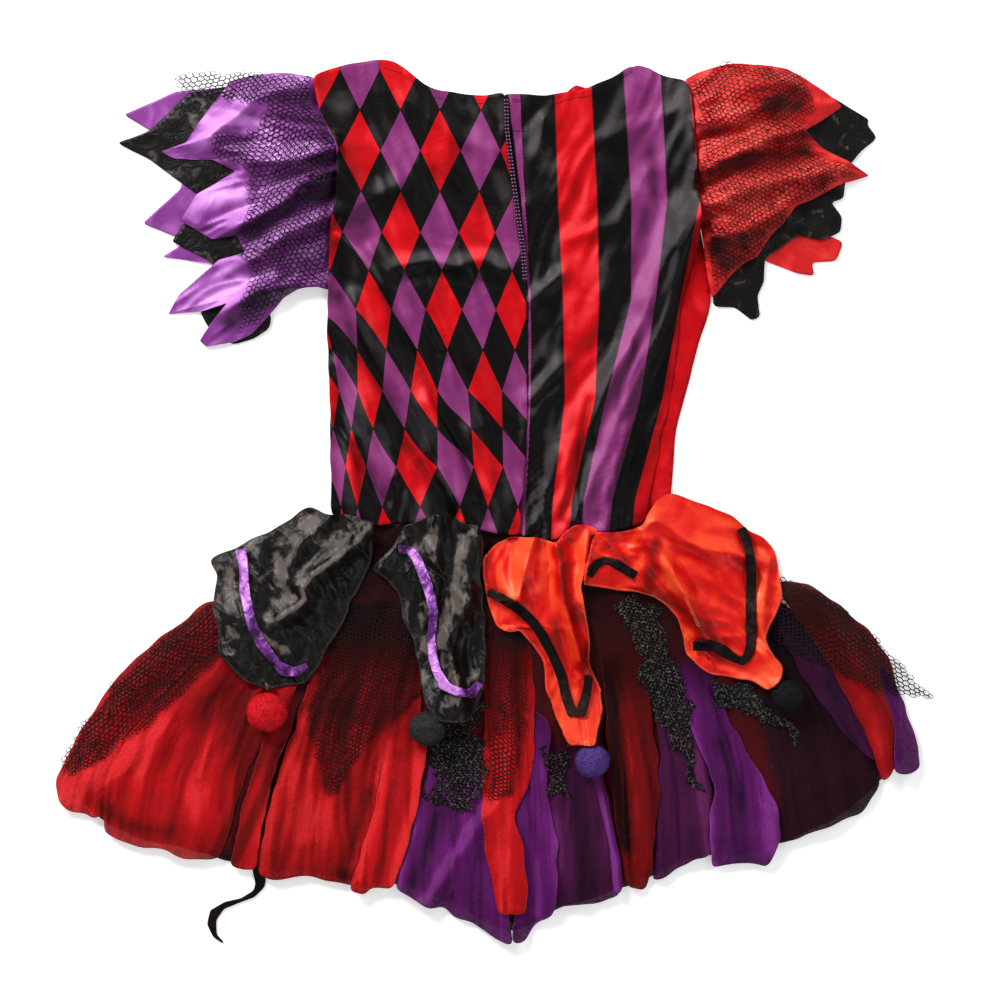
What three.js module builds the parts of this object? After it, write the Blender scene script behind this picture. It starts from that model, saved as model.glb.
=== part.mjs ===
// A jester costume laid flat on its front, with the back of the bodice up.
// All sizes are in millimetres. X runs to the right, Y runs up to the neck, Z runs up from the ground.
// Every cut piece of cloth is one thin wall, laid on the pieces that are already there.
import * as THREE from "three";

const WALL = 1.2; // thickness of every cloth wall
const GAP = 0.3; // air between a piece and whatever it rests on
const MAP_STEP = 1.5; // spacing of the points at which the height of the pile is kept
const MAP_REACH = 465; // the pile is mapped from -MAP_REACH to MAP_REACH both ways
const MAP_SIDE = (2 * MAP_REACH) / MAP_STEP + 1;
const SETTLED = 0.02; // a piece has settled once it dips by less than this into its GAP

const COLOURS = {
  printedBlack: "#1c1b1d",
  printedRed: "#c8141c",
  printedPurple: "#8a4296",
  blackSatin: "#141214",
  redSatin: "#e2200c",
  violetSatin: "#8a3cab",
  redTulle: "#b80512",
  darkTulle: "#241020",
  purpleTulle: "#4c1672",
  blackNet: "#161416",
  purpleRibbon: "#9a40b8",
  blackRibbon: "#18100f",
  redPompom: "#d8202c",
  greyPompom: "#2c2c2c",
  purplePompom: "#54407c",
  blackPompom: "#121012",
};

const costume = new THREE.Group();
costume.name = "jester_costume";

function smoothBump(share) {
  return share >= 1 ? 0 : 0.5 + 0.5 * Math.cos(Math.PI * share);
}

// The length of a line of points, up to each of its points, as shares of the whole.
function sharesAlong(line) {
  const lengths = [0];
  for (let i = 1; i < line.length; i++) {
    const step = Math.hypot(line[i][0] - line[i - 1][0], line[i][1] - line[i - 1][1]);
    lengths.push(lengths[i - 1] + step);
  }
  return lengths.map((length) => length / lengths[line.length - 1]);
}

function pointAlong(line, shares, share) {
  let i = 1;
  while (i < line.length - 1 && shares[i] < share) i++;
  const t = (share - shares[i - 1]) / (shares[i] - shares[i - 1]);
  const [from, to] = [line[i - 1], line[i]];
  return [from[0] + (to[0] - from[0]) * t, from[1] + (to[1] - from[1]) * t];
}

function evenShares(count) {
  return Array.from({ length: count }, (_, i) => i / (count - 1));
}

// The plan of a piece with four edges, as rows of points. The left and right edges run from top to bottom,
// and the top and bottom edges hold only the points between those corners.
function planOf({ left, right, top = [], bottom = [], columns, rows }) {
  const upper = [left[0], ...top, right[0]];
  const lower = [left[left.length - 1], ...bottom, right[right.length - 1]];
  const along = { left, right, top: upper, bottom: lower };
  const shares = {};
  for (const edge in along) shares[edge] = sharesAlong(along[edge]);
  const across = typeof columns === "string" ? shares[columns] : evenShares(columns);
  const down = typeof rows === "string" ? shares[rows] : evenShares(rows);
  const [topLeft, topRight] = [upper[0], upper[upper.length - 1]];
  const [bottomLeft, bottomRight] = [lower[0], lower[lower.length - 1]];
  return down.map((v) =>
    across.map((u) => {
      const l = pointAlong(left, shares.left, v);
      const r = pointAlong(right, shares.right, v);
      const t = pointAlong(upper, shares.top, u);
      const b = pointAlong(lower, shares.bottom, u);
      const plan = [0, 1].map((axis) => {
        const corners =
          (1 - v) * ((1 - u) * topLeft[axis] + u * topRight[axis]) +
          v * ((1 - u) * bottomLeft[axis] + u * bottomRight[axis]);
        return (1 - u) * l[axis] + u * r[axis] + (1 - v) * t[axis] + v * b[axis] - corners;
      });
      return { x: plan[0], y: plan[1], u, v };
    }),
  );
}

// Adds the points of a jagged hem to a plan. Each row ends in one tip or one notch beyond the hem line.
function withPoints(grid, { tips, tipsAt }) {
  const longer = grid.map((row, i) => {
    const [x, y] = tips[i];
    const hem = tipsAt === "left" ? row[0] : row[row.length - 1];
    const beyond = [0.5, 1].map((t) => ({
      x: hem.x + (x - hem.x) * t,
      y: hem.y + (y - hem.y) * t,
      v: hem.v,
    }));
    return tipsAt === "left" ? [...beyond.reverse(), ...row] : [...row, ...beyond];
  });
  return longer.map((row) => row.map((point, column) => ({ ...point, u: column / (row.length - 1) })));
}

// The two edges of a band that follows a centre line. A row of the table holds x, y and width.
function bandEdges(centre) {
  const edges = { left: [], right: [] };
  centre.forEach(([x, y, width], i) => {
    const before = centre[Math.max(i - 1, 0)];
    const after = centre[Math.min(i + 1, centre.length - 1)];
    const length = Math.hypot(after[0] - before[0], after[1] - before[1]);
    const side = [(after[1] - before[1]) / length, -(after[0] - before[0]) / length];
    edges.left.push([x + (side[0] * width) / 2, y + (side[1] * width) / 2]);
    edges.right.push([x - (side[0] * width) / 2, y - (side[1] * width) / 2]);
  });
  return edges;
}

// How far a fold lifts the cloth at a point: most on its line, nothing past its reach.
function foldHeight({ line, height, reach }, x, y) {
  let nearest = Infinity;
  for (let i = 1; i < line.length; i++) {
    const [ax, ay] = line[i - 1];
    const [dx, dy] = [line[i][0] - ax, line[i][1] - ay];
    const t = THREE.MathUtils.clamp(((x - ax) * dx + (y - ay) * dy) / (dx * dx + dy * dy), 0, 1);
    nearest = Math.min(nearest, Math.hypot(x - ax - dx * t, y - ay - dy * t));
  }
  return height * smoothBump(nearest / reach);
}

// Gathers run down the piece as uneven waves, which open out from the gathered edge to the free one.
function gatherHeight({ waves, height, start = 0, phase = 0 }, u, v) {
  const turn = 2 * Math.PI * (waves * u + 0.12 * Math.sin(2 * Math.PI * (1.7 * u + phase))) + phase;
  const open = THREE.MathUtils.lerp(start, height, v);
  return open * (0.5 - 0.5 * Math.cos(turn));
}

// A swell is a pillow of trapped air. Its shares say how full it is at even steps across the piece.
function swellHeight({ height, across, down }, u, v) {
  const at = (shares, position) => {
    const place = position * (shares.length - 1);
    const i = Math.min(Math.floor(place), shares.length - 2);
    return THREE.MathUtils.lerp(shares[i], shares[i + 1], place - i);
  };
  return height * at(across, u) * at(down, v);
}

function ownHeight({ folds = [], gathers, swell }, point) {
  let height = 0;
  for (const fold of folds) height = Math.max(height, foldHeight(fold, point.x, point.y));
  if (gathers) height += gatherHeight(gathers, point.u, point.v);
  if (swell) height += swellHeight(swell, point.u, point.v);
  return height;
}

// The pile keeps the height of the topmost cloth over the ground.
class Pile {
  constructor() {
    this.tops = new Float32Array(MAP_SIDE * MAP_SIDE);
  }

  place(value) {
    return (value + MAP_REACH) / MAP_STEP;
  }

  topNear(x, y) {
    const [column, row] = [Math.floor(this.place(x)), Math.floor(this.place(y))];
    const start = row * MAP_SIDE + column;
    return Math.max(...[0, 1, MAP_SIDE, MAP_SIDE + 1].map((step) => this.tops[start + step]));
  }

  // The map points under a triangle, each with its shares of the three corners.
  pointsUnder(a, b, c) {
    const area = (b.x - a.x) * (c.y - a.y) - (c.x - a.x) * (b.y - a.y);
    const found = [];
    const range = (values) => [Math.ceil(Math.min(...values)), Math.floor(Math.max(...values))];
    const [left, right] = range([a, b, c].map((p) => this.place(p.x)));
    const [low, high] = range([a, b, c].map((p) => this.place(p.y)));
    for (let row = low; row <= high; row++) {
      for (let column = left; column <= right; column++) {
        const x = column * MAP_STEP - MAP_REACH;
        const y = row * MAP_STEP - MAP_REACH;
        const ofB = ((x - a.x) * (c.y - a.y) - (c.x - a.x) * (y - a.y)) / area;
        const ofC = ((b.x - a.x) * (y - a.y) - (x - a.x) * (b.y - a.y)) / area;
        const shares = [1 - ofB - ofC, ofB, ofC];
        if (Math.min(...shares) > -1e-6) found.push({ at: row * MAP_SIDE + column, shares });
      }
    }
    return found;
  }

  // Raises the map to a new piece, and one step past its edge so that nothing rests on the bare edge.
  cover(heights) {
    for (const [at, height] of heights) {
      for (const down of [-MAP_SIDE, 0, MAP_SIDE]) {
        for (const across of [-1, 0, 1]) {
          const near = at + down + across;
          if (near === at || !heights.has(near)) {
            this.tops[near] = Math.max(this.tops[near], height);
          }
        }
      }
    }
  }
}

const pile = new Pile();

function trianglesOf(rows, columns) {
  const triangles = [];
  for (let r = 0; r < rows - 1; r++) {
    for (let c = 0; c < columns - 1; c++) {
      const [a, b] = [r * columns + c, r * columns + c + 1];
      const [d, e] = [a + columns, b + columns];
      triangles.push([a, d, e], [a, e, b]);
    }
  }
  return triangles;
}

// The height of each point of a piece. The cloth rests on the pile, slopes away gently from what holds
// it up,
// and has its own folds on top.
function settle(points, triangles, samples, piece) {
  const { slope = 0.35 } = piece;
  const limits = samples.map(({ corners, at, shares }) => ({
    corners,
    shares,
    lowest: pile.tops[at] + GAP,
  }));
  for (const [a, b, c] of triangles) {
    for (const corners of [[a, b], [b, c], [c, a]]) {
      const [from, to] = corners.map((corner) => points[corner]);
      for (const shares of [[0.75, 0.25], [0.5, 0.5], [0.25, 0.75]]) {
        const x = from.x * shares[0] + to.x * shares[1];
        const y = from.y * shares[0] + to.y * shares[1];
        limits.push({ corners, shares, lowest: pile.topNear(x, y) + GAP });
      }
    }
  }
  const over = ({ corners, shares, lowest }, heights) =>
    corners.reduce((sum, corner, k) => sum + heights[corner] * shares[k], -lowest);
  const resting = points.map((point) => pile.topNear(point.x, point.y) + GAP);
  const heights = points.map((point) => {
    const reached = points.map((other, j) => {
      return resting[j] - slope * Math.hypot(point.x - other.x, point.y - other.y);
    });
    return Math.max(...reached) + ownHeight(piece, point);
  });
  for (let round = 0, deepest = 1; round < 60 && deepest > SETTLED; round++) {
    deepest = 0;
    for (const limit of limits) {
      const short = -over(limit, heights);
      if (short <= 0) continue;
      deepest = Math.max(deepest, short);
      const weight = limit.shares.reduce((sum, share) => sum + share * share, 0);
      limit.corners.forEach((corner, k) => (heights[corner] += (short * limit.shares[k]) / weight));
    }
  }
  const clearance = Math.min(...limits.map((limit) => over(limit, heights)));
  return heights.map((height) => height - Math.max(clearance, 0));
}

// The closed wall between a sheet of points and the same sheet moved up.
function wallGeometry(points, heights, triangles, rows, columns, wall) {
  const count = points.length;
  const positions = [];
  points.forEach((point, i) => positions.push(point.x, point.y, heights[i] + wall));
  points.forEach((point, i) => positions.push(point.x, point.y, heights[i]));
  const faces = [];
  for (const [a, b, c] of triangles) faces.push(a, b, c, c + count, b + count, a + count);
  const rim = [];
  for (let r = 0; r < rows - 1; r++) rim.push(r * columns);
  for (let c = 0; c < columns - 1; c++) rim.push((rows - 1) * columns + c);
  for (let r = rows - 1; r > 0; r--) rim.push(r * columns + columns - 1);
  for (let c = columns - 1; c > 0; c--) rim.push(c);
  rim.forEach((from, i) => {
    const to = rim[(i + 1) % rim.length];
    faces.push(from, from + count, to + count, from, to + count, to);
  });
  const geometry = new THREE.BufferGeometry();
  geometry.setAttribute("position", new THREE.Float32BufferAttribute(positions, 3));
  geometry.setIndex(faces);
  return geometry;
}

function addMesh(name, colour, geometry) {
  geometry.computeVertexNormals();
  const material = new THREE.MeshStandardMaterial({ color: COLOURS[colour], roughness: 0.7 });
  const mesh = new THREE.Mesh(geometry, material);
  mesh.name = name;
  costume.add(mesh);
}

// Lays one piece of cloth. A piece on the ground is flat, and any other settles on the pile.
function lay(piece) {
  const { name, colour, wall = WALL, onGround = false } = piece;
  const plan = planOf(piece);
  const grid = piece.tips ? withPoints(plan, piece) : plan;
  const [rows, columns] = [grid.length, grid[0].length];
  const points = grid.flat();
  const triangles = trianglesOf(rows, columns);
  const samples = triangles.flatMap((corners) => {
    const under = pile.pointsUnder(...corners.map((corner) => points[corner]));
    return under.map((sample) => ({ ...sample, corners }));
  });
  const heights = onGround ? points.map(() => 0) : settle(points, triangles, samples, piece);
  const covered = new Map();
  for (const { corners, at, shares } of samples) {
    const top = corners.reduce((sum, corner, k) => sum + heights[corner] * shares[k], wall);
    covered.set(at, Math.max(top, covered.get(at) ?? 0));
  }
  pile.cover(covered);
  addMesh(name, colour, wallGeometry(points, heights, triangles, rows, columns, wall));
}

function layBand({ centre, ...piece }) {
  lay({ columns: 2, rows: "left", wall: 1, ...piece, ...bandEdges(centre) });
}

// A pompom is a squashed ball, whose surface is drawn out into short tufts of yarn.
function layPompom({ name, colour, at, radius, squash, tufts }) {
  const geometry = new THREE.IcosahedronGeometry(radius, 2);
  geometry.deleteAttribute("normal");
  geometry.deleteAttribute("uv");
  const position = geometry.getAttribute("position");
  const tuft = 1.6;
  for (let i = 0; i < position.count; i++) {
    const point = new THREE.Vector3().fromBufferAttribute(position, i).normalize();
    const ripple = Math.sin(tufts * point.x + 1) * Math.sin(tufts * point.y + 2) * Math.sin(tufts * point.z);
    point.multiplyScalar(radius + tuft * ripple);
    position.setXYZ(i, point.x, point.y, point.z * squash);
  }
  geometry.translate(at[0], at[1], 0);
  const corners = Array.from({ length: position.count }, (_, i) => {
    return new THREE.Vector3().fromBufferAttribute(position, i);
  });
  const skin = [];
  for (let i = 0; i < corners.length; i += 3) {
    const face = corners.slice(i, i + 3);
    const heightAt = (shares) => face.reduce((sum, corner, k) => sum + corner.z * shares[k], 0);
    for (const { at, shares } of pile.pointsUnder(...face)) skin.push({ at, height: heightAt(shares) });
  }
  const lift = Math.max(...skin.map(({ at, height }) => pile.tops[at] + GAP - height));
  const covered = new Map();
  for (const { at, height } of skin) covered.set(at, Math.max(height + lift, covered.get(at) ?? 0));
  pile.cover(covered);
  geometry.translate(0, 0, lift);
  addMesh(name, colour, geometry);
}

// Front of the bodice and the sleeves

lay({
  name: "bodice_front",
  colour: "printedRed",
  onGround: true,
  left: [
    [-174, 426], [-178, 400], [-172, 383], [-162, 366], [-157, 353], [-156, 332], [-160, 285],
    [-165, 268], [-165, 234], [-168, 210], [-170, 170], [-168, 120], [-166, 59], [-165, -18.6],
  ],
  top: [
    [-163, 430], [-116, 440], [-96, 432], [-69, 408], [-30, 402], [-22, 409], [-14, 402],
    [32, 398], [70, 405], [78, 419], [86, 408], [108, 416], [140, 438], [159, 423],
  ],
  right: [
    [186, 418], [192, 387], [194, 344], [195, 305], [200, 280], [206, 260], [210, 230], [215, 200],
    [214, 184], [202, 161], [193, 137], [191, 116], [180, 91], [177, 69], [177, 42], [170, -18.6],
  ],
  columns: "top",
  rows: 11,
});

lay({
  name: "left_sleeve_front",
  colour: "violetSatin",
  onGround: true,
  left: [[-260, 416], [-270, 380], [-268, 340], [-260, 300], [-260, 260], [-256, 220], [-258, 170]],
  right: [
    [-189, 420], [-186, 400], [-180, 383], [-169, 366], [-164, 353], [-163, 332], [-165, 311],
    [-167, 285], [-172, 268], [-172, 234], [-174, 213],
  ],
  bottom: [[-232, 188], [-219, 202], [-205, 210], [-186, 215]],
  columns: 6,
  rows: 9,
});

lay({
  name: "right_sleeve_front",
  colour: "redSatin",
  onGround: true,
  left: [[194, 418], [200, 387], [202, 344], [203, 305], [208, 280], [213, 250], [219, 210]],
  right: [[302, 420], [304, 392], [298, 368], [302, 340], [292, 304], [282, 282], [270, 268], [256, 246]],
  bottom: [[240, 234]],
  top: [[234, 433], [267, 432]],
  columns: 6,
  rows: 9,
});

lay({
  name: "left_front_points_violet",
  colour: "violetSatin",
  left: [
    [-323, 408], [-374, 385], [-349, 370], [-308, 358], [-317, 311], [-355, 277], [-325, 264],
    [-308, 260], [-336, 243], [-286, 236],
  ],
  right: [
    [-254, 414], [-252, 400], [-252, 388], [-252, 360], [-252, 330], [-252, 305], [-252, 285],
    [-252, 268], [-252, 254], [-252, 236],
  ],
  columns: 4,
  rows: "left",
});

lay({
  name: "left_front_points_black",
  colour: "blackSatin",
  left: [
    [-308, 407], [-332, 384], [-348, 369], [-381, 357], [-349, 341], [-325, 323], [-298, 304],
    [-312, 278], [-326, 258], [-286, 238], [-282, 216], [-298, 188], [-291, 174], [-265, 155],
    [-244, 161], [-228, 172],
  ],
  right: [
    [-250, 416], [-248, 400], [-248, 384], [-248, 370], [-248, 354], [-248, 338], [-248, 320],
    [-248, 300], [-248, 278], [-248, 256], [-248, 238], [-246, 220], [-244, 208], [-242, 198],
    [-238, 192], [-226, 186],
  ],
  columns: 4,
  rows: "left",
});

lay({
  name: "right_front_points_red",
  colour: "redSatin",
  left: [[282, 282], [280, 274], [276, 266], [272, 260], [268, 255], [264, 251], [259, 246]],
  right: [[308, 274], [345, 258], [338, 239], [314, 237], [316, 224], [300, 226], [267, 239]],
  columns: 4,
  rows: "right",
});

lay({
  name: "right_front_points_black",
  colour: "blackSatin",
  left: [
    [300, 406], [298, 388], [296, 378], [294, 366], [292, 350], [290, 334], [284, 314], [282, 302],
    [280, 295], [278, 286], [274, 276], [270, 268], [266, 262], [254, 250], [246, 242], [240, 236],
    [232, 229], [226, 222], [220, 214], [214, 204],
  ],
  right: [
    [331, 404], [372, 380], [368, 377], [379, 362], [364, 349], [350, 334], [347, 313], [345, 301],
    [333, 297], [344, 284], [343, 267], [324, 260], [300, 264], [267, 242], [266, 218], [259, 205],
    [262, 183], [254, 179], [236, 193], [215, 193],
  ],
  columns: 4,
  rows: "right",
});

// Backs of the sleeves, each cut in one with the points of its hem

lay({
  name: "left_sleeve_back",
  colour: "violetSatin",
  tipsAt: "left",
  tips: [
    [-268, 418], [-298, 377], [-311, 357], [-337, 348], [-323, 341], [-285, 340], [-262, 328],
    [-302, 304], [-317, 279], [-285, 260], [-260, 264], [-252, 247], [-279, 240], [-318, 206],
    [-330, 186], [-298, 188], [-270, 197], [-283, 182], [-298, 159], [-291, 153], [-264, 158],
  ],
  left: [
    [-236, 426], [-240, 402], [-242, 388], [-242, 374], [-242, 360], [-242, 344], [-240, 328],
    [-238, 312], [-238, 294], [-238, 280], [-238, 270], [-234, 250], [-234, 240], [-236, 231],
    [-240, 223], [-242, 216], [-242, 210], [-244, 200], [-246, 189], [-248, 179], [-246, 166],
  ],
  top: [[-206, 427]],
  right: [
    [-183, 421], [-180, 400], [-174, 383], [-163, 366], [-158, 353], [-157, 332], [-159, 311],
    [-161, 285], [-166, 268], [-166, 234], [-169, 210],
  ],
  bottom: [[-228, 184], [-217, 200], [-204, 209], [-185, 214], [-174, 208]],
  columns: 7,
  rows: "left",
  slope: 0.5,
  swell: {
    height: 18,
    across: [0, 0.35, 0.75, 1, 0.95, 0.7, 0.25],
    down: [0, 0.7, 0.95, 1, 1, 0.9, 0.6, 0],
  },
  folds: [
    { line: [[-163, 350], [-198, 338], [-248, 340]], height: 8, reach: 18 },
    { line: [[-164, 328], [-198, 314], [-213, 295], [-258, 276]], height: 9, reach: 18 },
    { line: [[-163, 285], [-208, 268], [-248, 238]], height: 9, reach: 20 },
    { line: [[-188, 416], [-236, 402], [-288, 360]], height: 7, reach: 20 },
    { line: [[-180, 215], [-236, 210], [-273, 190]], height: 6, reach: 16 },
  ],
});

lay({
  name: "right_sleeve_back",
  colour: "redSatin",
  left: [
    [187, 420], [193, 387], [195, 344], [196, 305], [201, 280], [206, 247], [213, 201],
  ],
  top: [[207, 430], [234, 437], [265, 435]],
  right: [
    [289, 431], [292, 416], [292, 402], [290, 388], [288, 376], [288, 362], [286, 348], [284, 334],
    [280, 322], [276, 310], [270, 298], [264, 286], [258, 272], [248, 238],
  ],
  tipsAt: "right",
  tips: [
    [306, 422], [329, 406], [344, 393], [324, 380], [306, 368], [324, 352], [352, 336], [371, 324],
    [343, 316], [317, 301], [298, 294], [286, 278], [273, 265], [259, 243],
  ],
  bottom: [[236, 228]],
  columns: 8,
  rows: "right",
  slope: 0.5,
  swell: {
    height: 18,
    across: [0.25, 0.7, 0.95, 1, 0.75, 0.35, 0],
    down: [0, 0.7, 0.95, 1, 1, 0.9, 0.6, 0],
  },
  folds: [
    { line: [[202, 397], [242, 410], [292, 416]], height: 6, reach: 16 },
    { line: [[202, 374], [232, 382], [266, 392]], height: 7, reach: 16 },
    { line: [[207, 328], [262, 356], [305, 369]], height: 9, reach: 18 },
    { line: [[204, 292], [247, 310], [347, 332]], height: 8, reach: 18 },
    { line: [[214, 260], [247, 268], [292, 295]], height: 7, reach: 18 },
  ],
});

lay({
  name: "left_sleeve_net",
  colour: "blackNet",
  wall: 1,
  left: [
    [-327, 423], [-327, 409], [-292, 402], [-254, 396], [-236, 387], [-242, 372], [-285, 361],
    [-283, 340], [-251, 326], [-255, 285], [-266, 248], [-248, 233], [-256, 210], [-262, 164],
  ],
  top: [[-317, 428], [-296, 431], [-278, 431], [-259, 428], [-238, 428], [-206, 428]],
  right: [
    [-185, 421], [-182, 400], [-176, 383], [-165, 366], [-160, 353], [-159, 332], [-161, 311],
    [-163, 285], [-168, 268], [-168, 234], [-170, 211],
  ],
  bottom: [[-241, 172], [-228, 184], [-217, 200], [-204, 209], [-185, 214]],
  columns: 9,
  rows: "left",
  slope: 0.5,
});

lay({
  name: "right_sleeve_net",
  colour: "blackNet",
  wall: 1,
  left: [
    [189, 419], [195, 387], [197, 344], [198, 305], [203, 280], [208, 247], [215, 202],
  ],
  top: [[207, 431], [234, 438], [265, 436], [283, 432]],
  right: [
    [302, 425], [315, 412], [317, 392], [306, 369], [314, 354], [348, 335], [360, 323],
    [334, 312], [298, 294], [286, 278], [273, 265], [259, 243],
  ],
  bottom: [[242, 232]],
  columns: 9,
  rows: "right",
  slope: 0.5,
});

// Front of the skirt, with the tie that hangs out from under its hem

lay({
  name: "skirt_front",
  colour: "darkTulle",
  onGround: true,
  left: [[-164, -19], [-274, -102], [-326, -146], [-378, -196], [-424, -275]],
  right: [[166, -19], [282, -102], [350, -150], [392, -200], [412, -262]],
  bottom: [
    [-420, -300], [-394, -322], [-348, -342], [-288, -354], [-233, -372], [-194, -369],
    [-153, -380], [-98, -384], [-48, -400], [-8, -426], [22, -436], [47, -412], [102, -396],
    [147, -380], [196, -354], [242, -357], [277, -345], [337, -320], [368, -296], [388, -272],
  ],
  columns: "bottom",
  rows: 5,
});

layBand({
  name: "hem_tie",
  colour: "blackRibbon",
  // x, y, width
  centre: [
    [-241, -362, 12], [-239, -372, 12], [-237, -384, 11], [-242, -393, 7], [-256, -400, 4],
    [-272, -404, 5], [-284, -413, 9], [-287, -424, 8], [-283, -436, 4], [-274, -443, 1.5],
  ],
});

// Back of the skirt: a dark underskirt, then gathered tulle panels

lay({
  name: "underskirt_back",
  colour: "darkTulle",
  left: [[-153, -24], [-260, -102], [-316, -150], [-366, -200], [-410, -275]],
  right: [[157, -24], [268, -102], [338, -150], [380, -200], [402, -260]],
  bottom: [
    [-398, -300], [-348, -334], [-288, -346], [-233, -364], [-194, -361], [-153, -372], [-98, -377],
    [-48, -392], [-8, -418], [22, -428], [47, -404], [102, -388], [147, -372], [196, -346],
    [242, -349], [274, -338], [337, -312], [364, -288], [382, -268],
  ],
  columns: 30,
  rows: 6,
  gathers: { waves: 14, height: 5, start: 1.5, phase: 0.3 },
});

lay({
  name: "tulle_sheer_far_right",
  colour: "darkTulle",
  left: [[254, -140], [266, -240], [281, -300], [280, -346]],
  right: [[338, -140], [366, -220], [377, -260], [383, -284]],
  bottom: [[302, -336], [321, -329], [337, -324], [360, -313], [374, -297]],
  columns: "bottom",
  rows: 6,
  gathers: { waves: 2.5, height: 6, phase: 0.8 },
});

lay({
  name: "tulle_sheer_right",
  colour: "purpleTulle",
  left: [[157, -160], [162, -280], [154, -381]],
  right: [[202, -200], [216, -300], [212, -356]],
  bottom: [[167, -376], [180, -369], [196, -358]],
  columns: "bottom",
  rows: 6,
  gathers: { waves: 2, height: 5, phase: 0.1 },
});

lay({
  name: "tulle_sheer_middle",
  colour: "purpleTulle",
  left: [[47, -240], [48, -300], [59, -407]],
  right: [[94, -245], [108, -300], [118, -350], [121, -396]],
  bottom: [[68, -405], [79, -404], [100, -401]],
  columns: "bottom",
  rows: 6,
  gathers: { waves: 1.5, height: 6, phase: 0.5 },
});

lay({
  name: "tulle_purple_left",
  colour: "purpleTulle",
  left: [[-62, -240], [-78, -300], [-92, -350], [-103, -388]],
  right: [[-3, -240], [2, -300], [8, -370], [14, -444]],
  bottom: [
    [-90, -393], [-78, -405], [-66, -408], [-53, -403], [-47, -417], [-29, -420], [-13, -431], [2, -441],
  ],
  columns: "bottom",
  rows: 7,
  gathers: { waves: 2, height: 3, phase: 0.2 },
  folds: [{ line: [[-6, -298], [-43, -350], [-74, -400]], height: 9, reach: 18 }],
});

lay({
  name: "tulle_purple_middle",
  colour: "purpleTulle",
  left: [[18, -200], [10, -300], [17, -370], [15, -444]],
  right: [[52, -220], [48, -290], [60, -350], [58, -406]],
  bottom: [[24, -444], [33, -431], [41, -420], [52, -417]],
  columns: "bottom",
  rows: 7,
  folds: [
    { line: [[48, -220], [34, -290], [24, -340], [30, -420]], height: 8, reach: 14 },
  ],
});

lay({
  name: "tulle_red_far_left",
  colour: "redTulle",
  left: [
    [-285, -98], [-320, -124], [-344, -142], [-367, -162], [-385, -181], [-400, -204], [-415, -226],
    [-433, -254], [-438, -270],
  ],
  right: [[-192, -140], [-198, -190], [-236, -240], [-258, -290], [-277, -358]],
  bottom: [
    [-443, -284], [-437, -303], [-424, -313], [-410, -311], [-407, -320], [-394, -313], [-392, -333],
    [-366, -345], [-332, -348], [-317, -359], [-289, -360],
  ],
  columns: "bottom",
  rows: 8,
  gathers: { waves: 3, height: 5, phase: 0.6 },
  folds: [{ line: [[-286, -180], [-346, -245], [-426, -296]], height: 9, reach: 20 }],
});

lay({
  name: "tulle_red_left",
  colour: "redTulle",
  left: [[-180, -140], [-198, -215], [-223, -285], [-236, -340], [-242, -372]],
  right: [[-80, -140], [-74, -200], [-90, -290], [-114, -350], [-124, -387]],
  bottom: [[-233, -380], [-213, -379], [-194, -373], [-176, -380], [-158, -383], [-142, -386]],
  columns: 9,
  rows: 8,
  gathers: { waves: 2.5, height: 5, phase: 0.4 },
  folds: [
    { line: [[-196, -220], [-213, -290], [-230, -360]], height: 8, reach: 16 },
    { line: [[-153, -280], [-168, -330], [-173, -370]], height: 5, reach: 16 },
  ],
});

lay({
  name: "tulle_red_narrow",
  colour: "redTulle",
  left: [[-214, -190], [-236, -245], [-253, -300], [-268, -366]],
  right: [[-196, -190], [-212, -242], [-230, -292], [-242, -370]],
  bottom: [[-256, -368]],
  columns: 4,
  rows: 7,
  folds: [{ line: [[-204, -190], [-236, -290], [-256, -366]], height: 6, reach: 12 }],
});

lay({
  name: "tulle_purple_right",
  colour: "purpleTulle",
  left: [[272, -104], [294, -160], [328, -212], [364, -254]],
  right: [[308, -84], [344, -140], [370, -200], [382, -262]],
  columns: 4,
  rows: 6,
  gathers: { waves: 1.5, height: 5, start: 2, phase: 0.2 },
});

lay({
  name: "tulle_red_far_right",
  colour: "redTulle",
  left: [[274, -82], [332, -166], [367, -232], [383, -282]],
  right: [
    [311, -83], [347, -110], [370, -129], [386, -146], [395, -166], [400, -192], [401, -230],
    [394, -272],
  ],
  bottom: [[389, -277]],
  columns: 5,
  rows: 9,
  folds: [{ line: [[352, -160], [376, -220], [386, -272]], height: 7, reach: 14 }],
});

lay({
  name: "tulle_purple_far_right",
  colour: "purpleTulle",
  left: [[380, -164], [395, -220], [395, -273]],
  right: [[392, -172], [411, -220], [420, -246], [422, -267]],
  bottom: [[406, -274], [416, -272]],
  columns: 4,
  rows: 6,
  gathers: { waves: 1, height: 4 },
});

lay({
  name: "tulle_red_right",
  colour: "redTulle",
  left: [[102, -150], [108, -220], [112, -290], [122, -350], [129, -386]],
  right: [[144, -150], [154, -220], [162, -285], [157, -332], [150, -389]],
  bottom: [[137, -386], [146, -390]],
  columns: 6,
  rows: 8,
  gathers: { waves: 2, height: 7, start: 2, phase: 0.3 },
});

lay({
  name: "tulle_purple_narrow",
  colour: "purpleTulle",
  left: [[92, -270], [102, -305], [112, -350], [116, -396]],
  right: [[101, -268], [111, -303], [120, -348], [126, -391]],
  columns: 3,
  rows: 6,
  folds: [{ line: [[97, -270], [116, -350], [121, -392]], height: 4, reach: 8 }],
});

lay({
  name: "tulle_red_bright",
  colour: "redTulle",
  left: [[-106, -215], [-121, -300], [-136, -350], [-151, -390]],
  right: [[-66, -215], [-78, -300], [-91, -345], [-104, -387]],
  bottom: [[-144, -393], [-133, -395], [-127, -387], [-116, -386]],
  columns: "bottom",
  rows: 7,
  gathers: { waves: 1.5, height: 7, start: 1, phase: 0.7 },
});

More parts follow.
